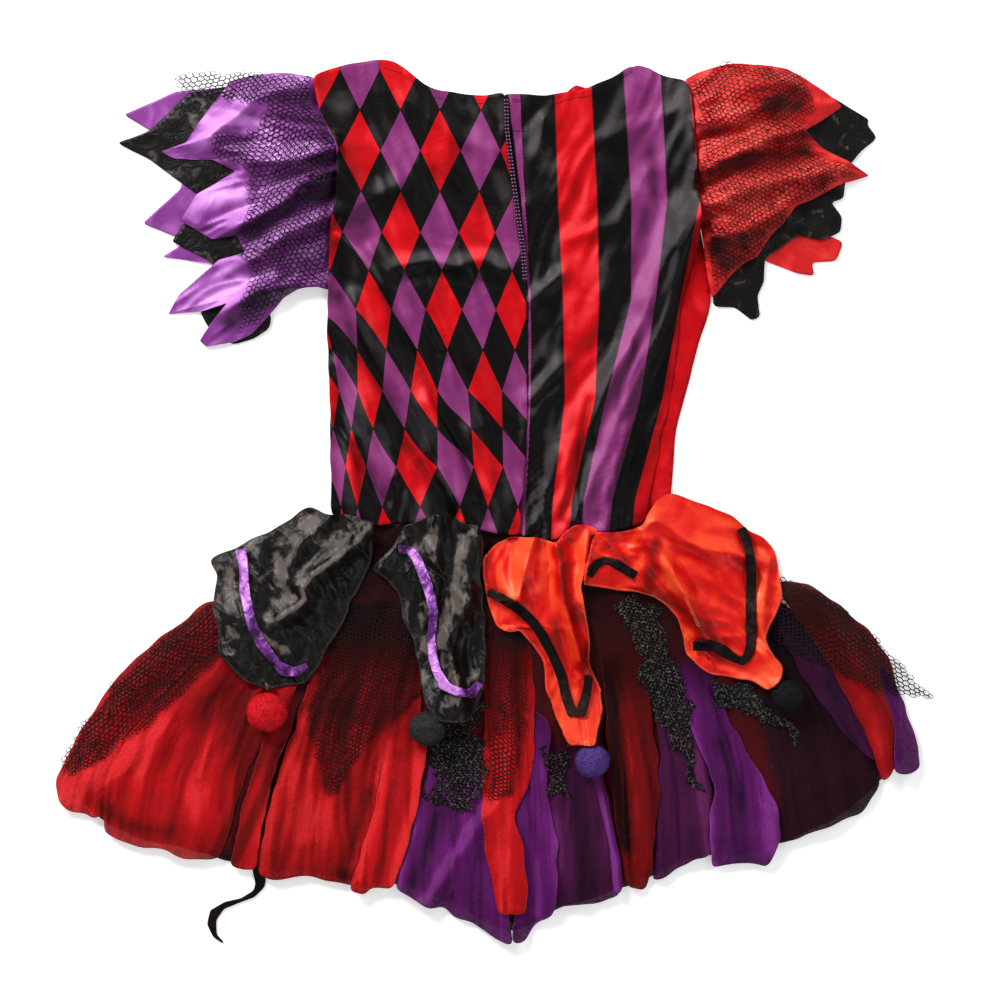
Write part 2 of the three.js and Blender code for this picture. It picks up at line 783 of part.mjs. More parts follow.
lay({
  name: "tulle_red_middle",
  colour: "redTulle",
  left: [[-14, -140], [-14, -200], [-15, -280], [-16, -320], [-11, -360], [0, -414]],
  right: [[33, -140], [36, -190], [36, -240], [32, -284], [15, -312], [25, -345], [29, -380], [28, -413]],
  columns: 5,
  rows: "right",
  folds: [
    { line: [[12, -140], [14, -240], [2, -300]], height: 7, reach: 16 },
    { line: [[2, -315], [8, -412]], height: 6, reach: 12 },
  ],
});

lay({
  name: "tulle_purple_fold",
  colour: "purpleTulle",
  left: [[174, -160], [192, -235], [208, -262], [219, -281], [211, -306], [211, -348], [214, -368]],
  right: [[206, -155], [228, -214], [250, -252], [268, -284], [281, -312], [283, -338], [268, -367]],
  bottom: [[228, -363], [254, -362]],
  columns: 6,
  rows: "right",
  folds: [
    { line: [[192, -170], [218, -230], [240, -285], [270, -315]], height: 9, reach: 16 },
    { line: [[230, -300], [230, -362]], height: 5, reach: 14 },
  ],
});

// Nets over the tulle

lay({
  name: "net_far_left",
  colour: "blackNet",
  wall: 1,
  left: [
    [-288, -101], [-311, -117], [-335, -137], [-360, -161], [-378, -178], [-389, -183],
    [-398, -201], [-415, -222], [-430, -244], [-438, -264],
  ],
  right: [[-262, -148], [-292, -173], [-326, -207], [-357, -232], [-397, -259], [-427, -281]],
  columns: 4,
  rows: "left",
});

lay({
  name: "net_left",
  colour: "blackNet",
  wall: 1,
  left: [[-146, -100], [-173, -157], [-191, -192], [-194, -226], [-182, -256], [-176, -293]],
  right: [[-90, -100], [-74, -175], [-78, -206], [-112, -228], [-144, -262], [-157, -297]],
  columns: 6,
  rows: 8,
});

lay({
  name: "net_middle_left",
  colour: "blackNet",
  wall: 1,
  left: [[-64, -200], [-68, -260], [-74, -306]],
  right: [[-12, -200], [-12, -260], [-14, -308]],
  columns: 4,
  rows: 6,
});

lay({
  name: "net_middle",
  colour: "blackNet",
  wall: 1,
  left: [[-13, -132], [-14, -220], [-14, -300]],
  right: [[29, -132], [31, -220], [16, -296]],
  columns: 4,
  rows: 8,
});

lay({
  name: "net_small",
  colour: "blackNet",
  wall: 1,
  left: [[48, -242], [45, -300]],
  right: [[74, -242], [73, -299]],
  columns: 3,
  rows: 4,
});

lay({
  name: "net_right",
  colour: "blackNet",
  wall: 1,
  left: [[114, -100], [142, -180], [174, -250], [196, -293]],
  right: [[154, -100], [184, -165], [198, -240], [208, -297]],
  columns: 4,
  rows: 8,
});

lay({
  name: "net_rolled",
  colour: "blackNet",
  wall: 1,
  left: [[200, -190], [244, -212], [267, -227], [298, -241]],
  right: [[214, -176], [250, -190], [279, -208], [305, -230]],
  columns: 4,
  rows: 6,
  folds: [{ line: [[206, -184], [247, -201], [301, -235]], height: 4, reach: 10 }],
});

lay({
  name: "net_far_right",
  colour: "blackNet",
  wall: 1,
  left: [[267, -140], [302, -159], [344, -175], [366, -194], [408, -198], [442, -201]],
  right: [
    [276, -76], [302, -81], [321, -89], [350, -113], [372, -130], [398, -156], [424, -185],
    [443, -199],
  ],
  columns: 5,
  rows: "right",
});

// Back of the bodice, which opens down the middle

lay({
  name: "bodice_back_right",
  colour: "printedBlack",
  left: [
    [4, 406], [6, 370], [11, 330], [17, 285], [22, 250], [24, 220], [26, 170], [27, 100],
    [25, 30], [20, -5], [19, -36],
  ],
  top: [
    [20, 407], [40, 404], [57, 404], [74, 409], [93, 412], [108, 419], [123, 429], [139, 440],
    [159, 426], [168, 422],
  ],
  right: [
    [189, 420], [195, 387], [197, 344], [198, 305], [203, 280], [200, 250], [192, 225], [185, 200],
    [179, 150], [173, 100], [163, 69], [159, 35], [152, 8], [150, -20],
  ],
  bottom: [[51, -42], [82, -34], [122, -32]],
  columns: 10,
  rows: 17,
  swell: {
    height: 5,
    across: [0, 0.5, 0.8, 1, 1, 0.8, 0],
    down: [0, 0.5, 0.9, 1, 1, 1, 0.8, 0.3],
  },
  folds: [
    { line: [[202, 295], [172, 248], [142, 178], [116, 128], [90, 68]], height: 6, reach: 22 },
    { line: [[48, 380], [38, 342]], height: 3, reach: 16 },
    { line: [[68, 232], [32, 198]], height: 4, reach: 18 },
    { line: [[64, 132], [32, 98]], height: 4, reach: 18 },
    { line: [[77, 60], [68, -30]], height: 5, reach: 14 },
    { line: [[127, 70], [108, -26]], height: 5, reach: 14 },
  ],
});

lay({
  name: "bodice_back_left",
  colour: "printedPurple",
  left: [
    [-184, 423], [-182, 400], [-176, 383], [-165, 366], [-160, 353], [-159, 332], [-161, 311],
    [-163, 285], [-168, 268], [-168, 234], [-170, 209], [-171, 171], [-169, 120], [-167, 59],
    [-166, -17],
  ],
  top: [
    [-164, 433], [-120, 440], [-113, 442.5], [-96, 435], [-83, 423], [-69, 411], [-52, 408], [-35, 405],
    [-13, 404],
  ],
  right: [
    [7, 407], [9, 370], [14, 330], [20, 285], [25, 250], [27, 220], [29, 170], [30, 100],
    [28, 30], [23, -5], [22, -36],
  ],
  bottom: [[-130, -24], [-88, -24], [-58, -20], [-18, -30]],
  columns: 11,
  rows: 18,
  swell: {
    height: 5,
    across: [0, 0.6, 0.9, 1, 1, 0.7, 0],
    down: [0, 0.5, 0.9, 1, 1, 1, 0.8, 0.3],
  },
  folds: [
    { line: [[-160, 210], [-133, 100], [-98, 30], [-68, -22]], height: 7, reach: 20 },
    { line: [[-126, 235], [-98, 190], [-78, 150], [-48, 60], [-8, -30]], height: 7, reach: 20 },
    { line: [[-88, 230], [2, 234]], height: 4, reach: 18 },
    { line: [[-153, 285], [-98, 315]], height: 4, reach: 20 },
    { line: [[-148, 60], [-136, -15]], height: 5, reach: 14 },
    { line: [[-28, 70], [7, -20]], height: 4, reach: 14 },
  ],
});

layBand({
  name: "opening_edge",
  colour: "printedPurple",
  // x, y, width
  centre: [
    [8, 404, 5], [9, 370, 5], [11.5, 350, 5], [14, 330, 5], [17, 308, 5], [20, 285, 5],
    [22.5, 267, 5], [25, 250, 5], [26, 234, 4], [27, 216, 3],
  ],
});

// Pompoms at the tips of the petals

const pompoms = [
  { name: "pompom_red", colour: "redPompom", at: [-230, -211], radius: 20, tufts: 7 },
  { name: "pompom_grey", colour: "greyPompom", at: [-70, -227], radius: 18, tufts: 8 },
  { name: "pompom_purple", colour: "purplePompom", at: [94, -260], radius: 17, tufts: 6 },
  { name: "pompom_black", colour: "blackPompom", at: [288, -195], radius: 17, tufts: 7 },
];
for (const pompom of pompoms) layPompom({ ...pompom, squash: 0.75 });

// Satin petals over the top of the skirt

lay({
  name: "petal_black_outer",
  colour: "blackSatin",
  left: [
    [-198, -11], [-212, -23], [-230, -32], [-248, -40], [-262, -48], [-280, -54], [-288, -58],
    [-282, -75], [-284, -98], [-285, -110], [-280, -130], [-278, -152], [-268, -168], [-252, -180],
  ],
  top: [[-188, -7], [-170, -13], [-146, -16]],
  right: [[-124, -21], [-126, -60], [-144, -100], [-160, -132], [-173, -155], [-192, -183]],
  bottom: [[-228, -188], [-208, -186]],
  columns: 10,
  rows: "left",
  slope: 0.4,
  swell: {
    height: 7,
    across: [0, 0.8, 1, 1, 0.8, 0],
    down: [0.2, 0.8, 1, 1, 0.9, 0.6, 0],
  },
  folds: [
    { line: [[-127, -29], [-158, -56], [-192, -84], [-192, -102], [-222, -122]], height: 12, reach: 20 },
    { line: [[-168, -18], [-198, -45], [-212, -85]], height: 8, reach: 16 },
    { line: [[-236, -45], [-243, -100], [-263, -160]], height: 5, reach: 16 },
  ],
});

lay({
  name: "petal_black_inner",
  colour: "blackSatin",
  left: [
    [-94, -26], [-102, -46], [-122, -62], [-130, -67], [-110, -80], [-100, -96], [-96, -114], [-82, -146],
    [-76, -182], [-78, -200], [-58, -220],
  ],
  top: [[-78, -20], [-64, -14], [-48, -17]],
  right: [
    [-20, -26], [-14, -36], [-18, -70], [-15, -90], [-12, -130], [-12, -170], [-17, -198],
    [-28, -220],
  ],
  bottom: [[-43, -222]],
  columns: 9,
  rows: 13,
  slope: 0.4,
  swell: {
    height: 6,
    across: [0, 0.8, 1, 1, 0.8, 0],
    down: [0.2, 0.8, 1, 1, 0.9, 0.6, 0],
  },
  folds: [
    { line: [[-58, -20], [-62, -60], [-66, -120]], height: 8, reach: 14 },
    { line: [[-20, -30], [-28, -100], [-50, -140], [-36, -200]], height: 9, reach: 14 },
    { line: [[-94, -40], [-118, -64]], height: 4, reach: 12 },
  ],
});

lay({
  name: "petal_red_inner",
  colour: "redSatin",
  left: [
    [-2, -43], [-13, -58], [-14, -81], [-10, -106], [-3, -126], [8, -132], [22, -130], [36, -144],
    [44, -158], [48, -185], [56, -212], [72, -246],
  ],
  top: [[6, -39], [31, -35], [51, -40], [58, -43], [72, -26], [90, -24]],
  right: [
    [99, -30], [100, -48], [84, -70], [82, -90], [88, -114], [92, -132], [89, -155], [94, -171],
    [104, -190], [105, -203], [101, -222], [96, -243],
  ],
  columns: 10,
  rows: "left",
  slope: 0.4,
  swell: {
    height: 7,
    across: [0, 0.8, 1, 1, 0.8, 0],
    down: [0.2, 0.9, 1, 1, 0.8, 0.5, 0],
  },
  folds: [
    { line: [[37, -36], [30, -60], [20, -100]], height: 9, reach: 20 },
    { line: [[59, -45], [66, -100], [82, -160]], height: 9, reach: 14 },
    { line: [[92, -30], [86, -60], [86, -100]], height: 7, reach: 12 },
  ],
});

lay({
  name: "petal_red_outer",
  colour: "redSatin",
  left: [[96, -32], [88, -58], [85, -83]],
  top: [
    [118, -32], [142, -30], [152, -8], [165, 7], [180, 6], [196, -1], [212, -8], [233, -15],
    [248, -28], [267, -38],
  ],
  right: [
    [276, -49], [282, -76], [284, -90], [280, -108], [271, -126], [265, -138], [270, -150], [286, -169],
    [278, -185], [269, -188],
  ],
  bottom: [
    [100, -87], [120, -90], [140, -92], [154, -96], [169, -106], [179, -118], [185, -134], [189, -153],
    [200, -167], [214, -174], [235, -178], [253, -180],
  ],
  columns: "bottom",
  rows: 11,
  slope: 0.4,
  swell: {
    height: 8,
    across: [0, 0.7, 1, 1, 1, 0.7, 0],
    down: [0.2, 0.8, 1, 1, 0.9, 0.5, 0],
  },
  folds: [
    { line: [[157, -20], [202, -48], [262, -60]], height: 7, reach: 18 },
    { line: [[142, -30], [174, -72], [207, -140]], height: 10, reach: 18 },
    { line: [[102, -35], [124, -60], [147, -90]], height: 6, reach: 14 },
    { line: [[272, -60], [262, -110], [267, -150]], height: 6, reach: 14 },
  ],
});

// Ribbons sewn along the petals, with x, y and width in each row

layBand({
  name: "ribbon_black_outer",
  colour: "purpleRibbon",
  centre: [
    [-257, -49, 10], [-254, -62, 10], [-253, -76, 10], [-253, -90, 10], [-250, -103, 10],
    [-247, -116, 10], [-243, -129, 10], [-236, -143, 10], [-225, -157, 10], [-214, -171, 10],
    [-200, -171, 9], [-190, -165, 7],
  ],
});

layBand({
  name: "ribbon_black_inner",
  colour: "purpleRibbon",
  centre: [
    [-99, -49, 9], [-88, -49, 10], [-80, -60, 10], [-75, -73, 10], [-70, -87, 10], [-66, -100, 10],
    [-64, -114, 9], [-66, -130, 8], [-67, -143, 8], [-65, -156, 9], [-61, -170, 9], [-55, -184, 9],
    [-40, -190, 9], [-24, -193, 8], [-18, -182, 7],
  ],
});

layBand({
  name: "ribbon_red_inner",
  colour: "blackRibbon",
  centre: [
    [-10, -92, 9], [6, -99, 10], [20, -108, 10], [32, -118, 10], [42, -131, 10], [51, -147, 10],
    [58, -162, 10], [64, -178, 10], [68, -196, 10], [73, -212, 10], [83, -212, 10], [88, -194, 10],
    [91, -176, 8],
  ],
});

layBand({
  name: "ribbon_valley",
  colour: "blackRibbon",
  centre: [[91, -76, 8], [98, -64, 9], [109, -59, 10], [122, -66, 10], [138, -76, 9]],
});

layBand({
  name: "ribbon_red_outer",
  colour: "blackRibbon",
  centre: [
    [243, -28, 9], [248, -40, 10], [251, -54, 10], [252, -70, 10], [252, -86, 10], [252, -104, 10],
    [252, -122, 10], [252, -140, 10], [250, -153, 10], [244, -161, 9], [236, -158, 9], [226, -150, 10],
    [212, -145, 10], [194, -145, 10],
  ],
});

// The ground lies under the middle of the costume
costume.updateMatrixWorld(true);
const bounds = new THREE.Box3().setFromObject(costume);
const middle = bounds.getCenter(new THREE.Vector3());
for (const mesh of costume.children) mesh.geometry.translate(-middle.x, -middle.y, -bounds.min.z);

export default costume;
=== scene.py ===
import logging
import math
import random
from dataclasses import dataclass, field
from enum import Enum
from typing import Callable

import bmesh
import bpy
import numpy as np
from mathutils import Matrix, Vector, noise
from mathutils.bvhtree import BVHTree


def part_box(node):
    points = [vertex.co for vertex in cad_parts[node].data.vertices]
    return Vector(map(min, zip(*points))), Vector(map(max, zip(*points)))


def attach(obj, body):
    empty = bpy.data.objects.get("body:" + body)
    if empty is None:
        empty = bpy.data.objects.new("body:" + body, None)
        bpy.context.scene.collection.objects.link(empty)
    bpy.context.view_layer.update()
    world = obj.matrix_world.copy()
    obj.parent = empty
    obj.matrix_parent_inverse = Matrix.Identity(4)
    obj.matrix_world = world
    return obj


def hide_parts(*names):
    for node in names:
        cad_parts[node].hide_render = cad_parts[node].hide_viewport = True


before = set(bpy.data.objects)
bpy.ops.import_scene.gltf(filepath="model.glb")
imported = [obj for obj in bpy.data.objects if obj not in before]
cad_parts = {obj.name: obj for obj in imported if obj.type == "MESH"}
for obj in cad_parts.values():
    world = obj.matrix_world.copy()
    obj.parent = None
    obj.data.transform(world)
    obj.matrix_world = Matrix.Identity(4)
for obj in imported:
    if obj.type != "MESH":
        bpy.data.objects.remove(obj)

# Logging and fixed sizes, all in metres

logging.basicConfig(level=logging.INFO, format="%(message)s")
log = logging.getLogger("costume")

MM = 0.001
BODY = "root"
AIR = 0.3 * MM  # air between one cloth and the next
CAMERA_HEIGHT = 4.0
PHOTO_WIDTH = 1.0  # width of ground that the camera sees
NARROWEST = 10 * MM  # a band is declared at least this wide
OUTLINE_WAVE = 0.022  # how far apart the waves of a cut edge are
RAGGED_WAVE = 0.024  # the same for a net's torn edge
PETAL_SEAM = -0.036  # the petals are sewn in above this height, and free below it
TO_WINDOW = np.array((-0.61, 0.79, 0.0))  # the way that the window lies from the costume: cloth turned towards it is painted lighter, cloth turned away painted darker

Line = tuple[tuple[float, float], ...]
Value = float | tuple[float, ...] | bpy.types.NodeSocket  # what an input of a shader node takes
ChartMap = Callable[[np.ndarray], np.ndarray]


def interpolate(value: np.ndarray, table: Line) -> np.ndarray:
    """Reads a table of rising places and their values at each place in value."""
    places, values = zip(*table)
    return np.interp(value, places, values)


def noise_at(across: np.ndarray, along: np.ndarray, seed: float) -> np.ndarray:
    """Smooth uneven noise from about -1 to 1 at points of a plane."""
    return np.array([noise.noise(Vector((a, b, seed))) for a, b in zip(across, along)]) * 1.6


# Charts say where a point of the costume lies on its cloth


class SkirtChart:
    """Reads how far round the skirt a point is, and how far below the waist."""

    WAIST = -22.0
    # drop below the waist and half width there, in millimetres
    HALF_WIDTHS: Line = (
        (0, 155), (38, 215), (80, 272), (126, 335), (176, 385), (251, 425), (350, 442), (425, 446),
    )

    @classmethod
    def place(cls, points: np.ndarray) -> np.ndarray:
        """Gives the share of the half width and the drop in metres for each point.

        Args:
            points: The points, in metres.

        Returns:
            A row for each point.
        """
        drop = cls.WAIST - points[:, 1] / MM
        half_width = interpolate(drop, cls.HALF_WIDTHS)
        return np.stack([points[:, 0] / MM / half_width, drop * MM], axis=1)


class HarlequinChart:
    """Follows the rows of printed lozenges as the folds draw them together."""

    # height of a row, and the middles of its lozenges from the left, in millimetres
    ROWS: tuple[tuple[float, Line], ...] = (
        (-103, ((-300, -5), (-224, -3), (-190, -2), (-168, -1), (-153, 0), (-135, 1), (-105, 2), (-70, 3),
                (-38, 4), (-10, 5), (20, 6), (50, 7))),
        (-45, ((-300, -5), (-224, -3), (-190, -2), (-168, -1), (-153, 0), (-138, 1), (-112, 2), (-73, 3),
               (-38, 4), (-10, 5), (20, 6), (50, 7))),
        (35, ((-300, -5), (-215, -2), (-182, -1), (-161, 0), (-143, 1), (-120, 2), (-83, 3), (-38, 4),
              (-10, 5), (20, 6), (50, 7))),
        (111, ((-300, -5), (-205, -2), (-188, -1), (-168, 0), (-150, 1), (-130, 2), (-101, 3), (-73, 4),
               (-48, 5), (-13, 5.97), (20, 7), (52, 8))),
        (192, ((-360, -3), (-240, 0), (-200, 1), (-160, 2), (-123, 3), (-90, 4), (-54, 5), (-18, 6), (14, 7),
               (48, 8))),
        (269, ((-380, -3), (-250, 0), (-215, 1), (-175, 2), (-135, 3), (-97, 4), (-58, 5), (-20, 6), (14, 7),
               (50, 8))),
        (351, ((-380, -3), (-258, 0), (-218, 1), (-178, 2), (-138, 3), (-97, 4), (-58, 5), (-17, 6), (22, 7),
               (60, 8))),
        (432, ((-380, -3), (-258, 0), (-218, 1), (-178, 2), (-138, 3), (-98, 4), (-58, 5), (-17, 6), (24, 7),
               (64, 8))),
    )

    @classmethod
    def place(cls, points: np.ndarray) -> np.ndarray:
        """Gives the column and row of the print at each point, whole at the middle of a lozenge.

        Args:
            points: The points, in metres.

        Returns:
            A row of column and row for each point.
        """
        heights = np.array([row[0] for row in cls.ROWS])
        row = np.interp(points[:, 1] / MM, heights, np.arange(len(heights)))
        row = row + np.minimum((points[:, 1] / MM - heights[0]) / 80, 0)
        columns = np.array([interpolate(points[:, 0] / MM, line) for _, line in cls.ROWS])
        below = np.clip(np.floor(row).astype(int), 0, len(heights) - 2)
        share = np.clip(row - below, 0, 1)
        index = np.arange(len(points))
        column = columns[below, index] * (1 - share) + columns[below + 1, index] * share
        return np.stack([column, row], axis=1)


class StripeChart:
    """Follows the printed stripes as the folds bend them."""

    # height, and the edges between the stripes from the middle seam outwards, in millimetres
    ROWS: tuple[tuple[float, tuple[float, ...]], ...] = (
        (-45, (14, 26, 53, 70, 82, 110, 133, 150)),
        (2, (20, 27, 55, 74, 85, 114, 137, 152)),
        (102, (31, 32, 67, 97, 107, 142, 164, 182)),
        (202, (31, 32, 65, 101, 133, 157, 182, 214)),
        (302, (24, 26, 60, 99, 133, 169, 201, 235)),
        (402, (11, 22, 57, 94, 127, 164, 192, 230)),
        (450, (8, 20, 55, 92, 124, 161, 190, 228)),
    )

    @classmethod
    def place(cls, points: np.ndarray) -> np.ndarray:
        """Gives the number of the stripe, rising evenly through it, and the height in metres.

        Args:
            points: The points, in metres.

        Returns:
            A row for each point.
        """
        heights = np.array([row[0] for row in cls.ROWS])
        edges = np.array([row[1] for row in cls.ROWS], float)
        x, y = points[:, 0] / MM, points[:, 1] / MM
        here = [np.interp(y, heights, edges[:, k]) for k in range(edges.shape[1])]
        across = 1 - np.clip(here[0] - x, 0, None) / 30
        for start, end in zip(here, here[1:]):
            across += np.clip((x - start) / (end - start), 0, 1)
        across += np.clip(x - here[-1], 0, None) / 30
        return np.stack([across, points[:, 1]], axis=1)


def flat_place(points: np.ndarray) -> np.ndarray:
    """Gives the plan of the points itself."""
    return points[:, :2].copy()


def spread_from(x: float, y: float, reach: float) -> ChartMap:
    """Makes a chart of gathers that spread from one point.

    Args:
        x: The point's place across, in millimetres.
        y: The point's place along, in millimetres.
        reach: The distance at which an angle of one radian counts as one metre per metre.

    Returns:
        A chart that gives the distance round and the distance out, in metres.
    """

    def place(points: np.ndarray) -> np.ndarray:
        """Gives the distance round and the distance out of each point."""
        across = points[:, 0] - x * MM
        along = points[:, 1] - y * MM
        out = np.hypot(across, along)
        angle = np.arctan2(along, np.abs(across))
        return np.stack([angle * reach * MM, out], axis=1)

    return place


# Folds, wrinkles and gathers


@dataclass(frozen=True)
class Crease:
    """A fold placed along a given line, in millimetres. A negative height is a valley."""

    # also used for bands of painted light and shade, where the height is how much lighter the band is painted
    line: Line
    height: float
    reach: float
    sharp: float = 1.5

    def lift(self, points: np.ndarray) -> np.ndarray:
        """Gives how far the fold lifts each point, in metres.

        Args:
            points: The points, in metres.

        Returns:
            The lift at each point.
        """
        plan = points[:, :2] / MM
        nearest = np.full(len(plan), 1e9)
        for start, end in zip(self.line, self.line[1:]):
            a = np.array(start, float)
            run = np.array(end, float) - a
            share = np.clip(((plan - a) @ run) / (run @ run), 0, 1)
            gap = np.hypot(*(plan - a - share[:, None] * run).T)
            nearest = np.minimum(nearest, gap)
        rest = np.clip(1 - nearest / self.reach, 0, 1)
        return self.height * MM * rest**self.sharp


def folds(*rows: tuple) -> tuple[Crease, ...]:
    """Makes folds from rows of a line, a height and a reach."""
    return tuple(Crease(*row) for row in rows)


def shades(*rows: tuple) -> tuple[Crease, ...]:
    """Makes bands of painted light and shade from rows of a line, how much lighter the cloth is painted along
    it, and a reach.
    """
    return tuple(Crease(*row, 1.0) for row in rows)


@dataclass(frozen=True)
class Ripples:
    """Small uneven wrinkles. Sizes are in metres on the piece's chart, or in its own units there."""

    height: float
    across: float
    along: float
    turn: float = 0.0
    seed: float = 0.0
    ridged: bool = False
    fade: tuple[float, float] | None = None
    least: float = 0.15

    def lift(self, chart: np.ndarray) -> np.ndarray:
        """Gives how far the wrinkles lift each point, in metres.

        Args:
            chart: The place of each point on the cloth.

        Returns:
            The lift at each point.
        """
        angle = math.radians(self.turn)
        across = chart[:, 0] * math.cos(angle) + chart[:, 1] * math.sin(angle)
        along = -chart[:, 0] * math.sin(angle) + chart[:, 1] * math.cos(angle)
        sway = noise_at(across / self.across * 0.4, along / self.along * 0.8, self.seed + 9)
        value = noise_at(across / self.across + 0.6 * sway, along / self.along, self.seed)
        shape = 1 - 2 * np.abs(value) if self.ridged else value
        height = np.full(len(chart), self.height * MM)
        if self.fade:
            start, full = self.fade
            height *= np.clip((chart[:, 1] - start) / (full - start), self.least, 1)
        return height * shape


class Pile:
    """Keeps the height of the topmost cloth over the floor, on a square map."""

    REACH = 0.49
    STEP = 2 * MM

    def __init__(self) -> None:
        """Starts with the bare floor."""
        side = int(2 * self.REACH / self.STEP) + 2
        self.tops = np.zeros((side, side))

    def near(self, points: np.ndarray) -> list[tuple[np.ndarray, np.ndarray]]:
        """Lists the four map places round each point."""
        base = np.floor((points[:, :2] + self.REACH) / self.STEP).astype(int)
        return [(base[:, 1] + j, base[:, 0] + i) for i in (0, 1) for j in (0, 1)]

    def top(self, points: np.ndarray) -> np.ndarray:
        """Gives the height of the topmost cloth under each point."""
        return np.max([self.tops[place] for place in self.near(points)], axis=0)

    def cover(self, points: np.ndarray) -> None:
        """Raises the map to a new piece."""
        for place in self.near(points):
            np.maximum.at(self.tops, place, points[:, 2])


# Meshes


def points_of(mesh: bmesh.types.BMesh) -> np.ndarray:
    """Gives the places of a mesh's points as rows."""
    return np.array([vert.co for vert in mesh.verts], float).reshape(-1, 3)


def move_points(mesh: bmesh.types.BMesh, points: np.ndarray) -> None:
    """Puts a mesh's points at new places."""
    for vert, place in zip(mesh.verts, points):
        vert.co = place


def merged_node(node: str) -> bmesh.types.BMesh:
    """Copies a node of the frame, with its loose triangles joined.

    Args:
        node: The name of the node.

    Returns:
        The copy.
    """
    copy = bmesh.new()
    copy.from_mesh(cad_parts[node].data)
    bmesh.ops.remove_doubles(copy, verts=copy.verts[:], dist=1e-6)
    return copy


def drop_loose(mesh: bmesh.types.BMesh) -> None:
    """Deletes the points of a mesh that no face uses."""
    loose = [vert for vert in mesh.verts if not vert.link_faces]
    bmesh.ops.delete(mesh, geom=loose, context="VERTS")


def top_skin(node: str) -> bmesh.types.BMesh:
    """Takes the upper face of a cloth node.

    Args:
        node: The name of the node.

    Returns:
        The upper face alone.
    """
    skin = merged_node(node)
    lower = [face for face in skin.faces if face.normal.z <= 0.05]
    bmesh.ops.delete(skin, geom=lower, context="FACES")
    drop_loose(skin)
    return skin


def refine(skin: bmesh.types.BMesh, spacing: float) -> None:
    """Divides a skin's edges until none is longer than the spacing.

    Args:
        skin: The skin.
        spacing: The longest edge that may stay.
    """
    for _ in range(9):
        long_edges = [edge for edge in skin.edges if edge.calc_length() > spacing]
        if not long_edges:
            return
        bmesh.ops.subdivide_edges(skin, edges=long_edges, cuts=1, use_grid_fill=True)
        bmesh.ops.triangulate(skin, faces=skin.faces[:], quad_method="SHORT_EDGE")


def outline_loops(skin: bmesh.types.BMesh) -> list[list[bmesh.types.BMVert]]:
    """Walks round each edge of a skin and lists its points in order.

    Args:
        skin: The skin.

    Returns:
        A list of points for each edge.
    """
    rim = {vert for edge in skin.edges if edge.is_boundary for vert in edge.verts}
    loops = []
    while rim:
        start = min(rim, key=lambda vert: vert.index)
        loop = [start]
        rim.discard(start)
        step: bmesh.types.BMVert | None = start
        while step:
            ahead = [
                edge.other_vert(step)
                for edge in step.link_edges
                if edge.is_boundary and edge.other_vert(step) in rim
            ]
            step = ahead[0] if ahead else None
            if step:
                loop.append(step)
                rim.discard(step)
        loops.append(loop)
    return loops


def round_outline(skin: bmesh.types.BMesh, rounds: int) -> None:
    """Rounds the corners of a skin's outline in plan, and relaxes the cloth inside it.

    Args:
        skin: The skin.
        rounds: How often the outline is evened.
    """
    skin.verts.index_update()
    for loop in outline_loops(skin):
        if len(loop) < 8:
            continue
        places = np.array([vert.co for vert in loop])
        for _ in range(rounds):
            middle = (np.roll(places, 1, axis=0) + np.roll(places, -1, axis=0)) / 2
            places[:, :2] += 0.5 * (middle - places)[:, :2]
        for vert, place in zip(loop, places):
            vert.co = place
    inner = [vert for vert in skin.verts if not vert.is_boundary]
    for _ in range(3):
        bmesh.ops.smooth_vert(skin, verts=inner, factor=0.5, use_axis_x=True, use_axis_y=True)


def even_heights(skin: bmesh.types.BMesh, rounds: int) -> None:
    """Evens out the heights of a skin."""
    for _ in range(rounds):
        bmesh.ops.smooth_vert(skin, verts=skin.verts[:], factor=0.5, use_axis_z=True)


def set_chart(mesh: bpy.types.Mesh, chart: np.ndarray) -> None:
    """Stores a chart of the cloth as the mesh's own UV map.

    Args:
        mesh: The mesh.
        chart: The place of each point on the cloth.
    """
    layer = mesh.uv_layers.new(name="cloth")
    corners = np.zeros(len(mesh.loops), int)
    mesh.loops.foreach_get("vertex_index", corners)
    layer.data.foreach_set("uv", chart[corners].astype(np.float32).ravel())


def set_values(mesh: bpy.types.Mesh, name: str, values: np.ndarray) -> None:
    """Stores one value for each point of a mesh under a name, for its material to read."""
    layer = mesh.attributes.new(name, "FLOAT", "POINT")
    layer.data.foreach_set("value", np.clip(values, 0, 1.2).astype(np.float32))


def add_object(name: str, mesh: bmesh.types.BMesh, material: bpy.types.Material) -> bpy.types.Object:
    """Turns a bmesh into a smooth piece that rides on the costume.

    Args:
        name: The name of the piece.
        mesh: Its shape, which is freed.
        material: Its material.

    Returns:
        The piece.
    """
    data = bpy.data.meshes.new(name)
    mesh.to_mesh(data)
    mesh.free()
    data.shade_smooth()
    data.materials.append(material)
    piece = bpy.data.objects.new(name, data)
    bpy.context.scene.collection.objects.link(piece)
    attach(piece, BODY)
    return piece


def thicken(piece: bpy.types.Object, wall: float) -> None:
    """Gives a sheet its wall, below the surface.

    Args:
        piece: The sheet.
        wall: The wall in metres.
    """
    solid = piece.modifiers.new("wall", "SOLIDIFY")
    solid.thickness = wall
    solid.offset = -1
    solid.use_even_offset = False


def repeat_shape(shape: bmesh.types.BMesh, places: list[Matrix], target: bmesh.types.BMesh) -> None:
    """Adds a copy of a small shape to a mesh at each place, and frees the shape.

    Args:
        shape: The small shape.
        places: Where the copies go.
        target: The mesh that they are added to.
    """
    pattern = bpy.data.meshes.new("pattern")
    shape.to_mesh(pattern)
    shape.free()
    for place in places:
        copy = pattern.copy()
        copy.transform(place)
        target.from_mesh(copy)
        bpy.data.meshes.remove(copy)
    bpy.data.meshes.remove(pattern)


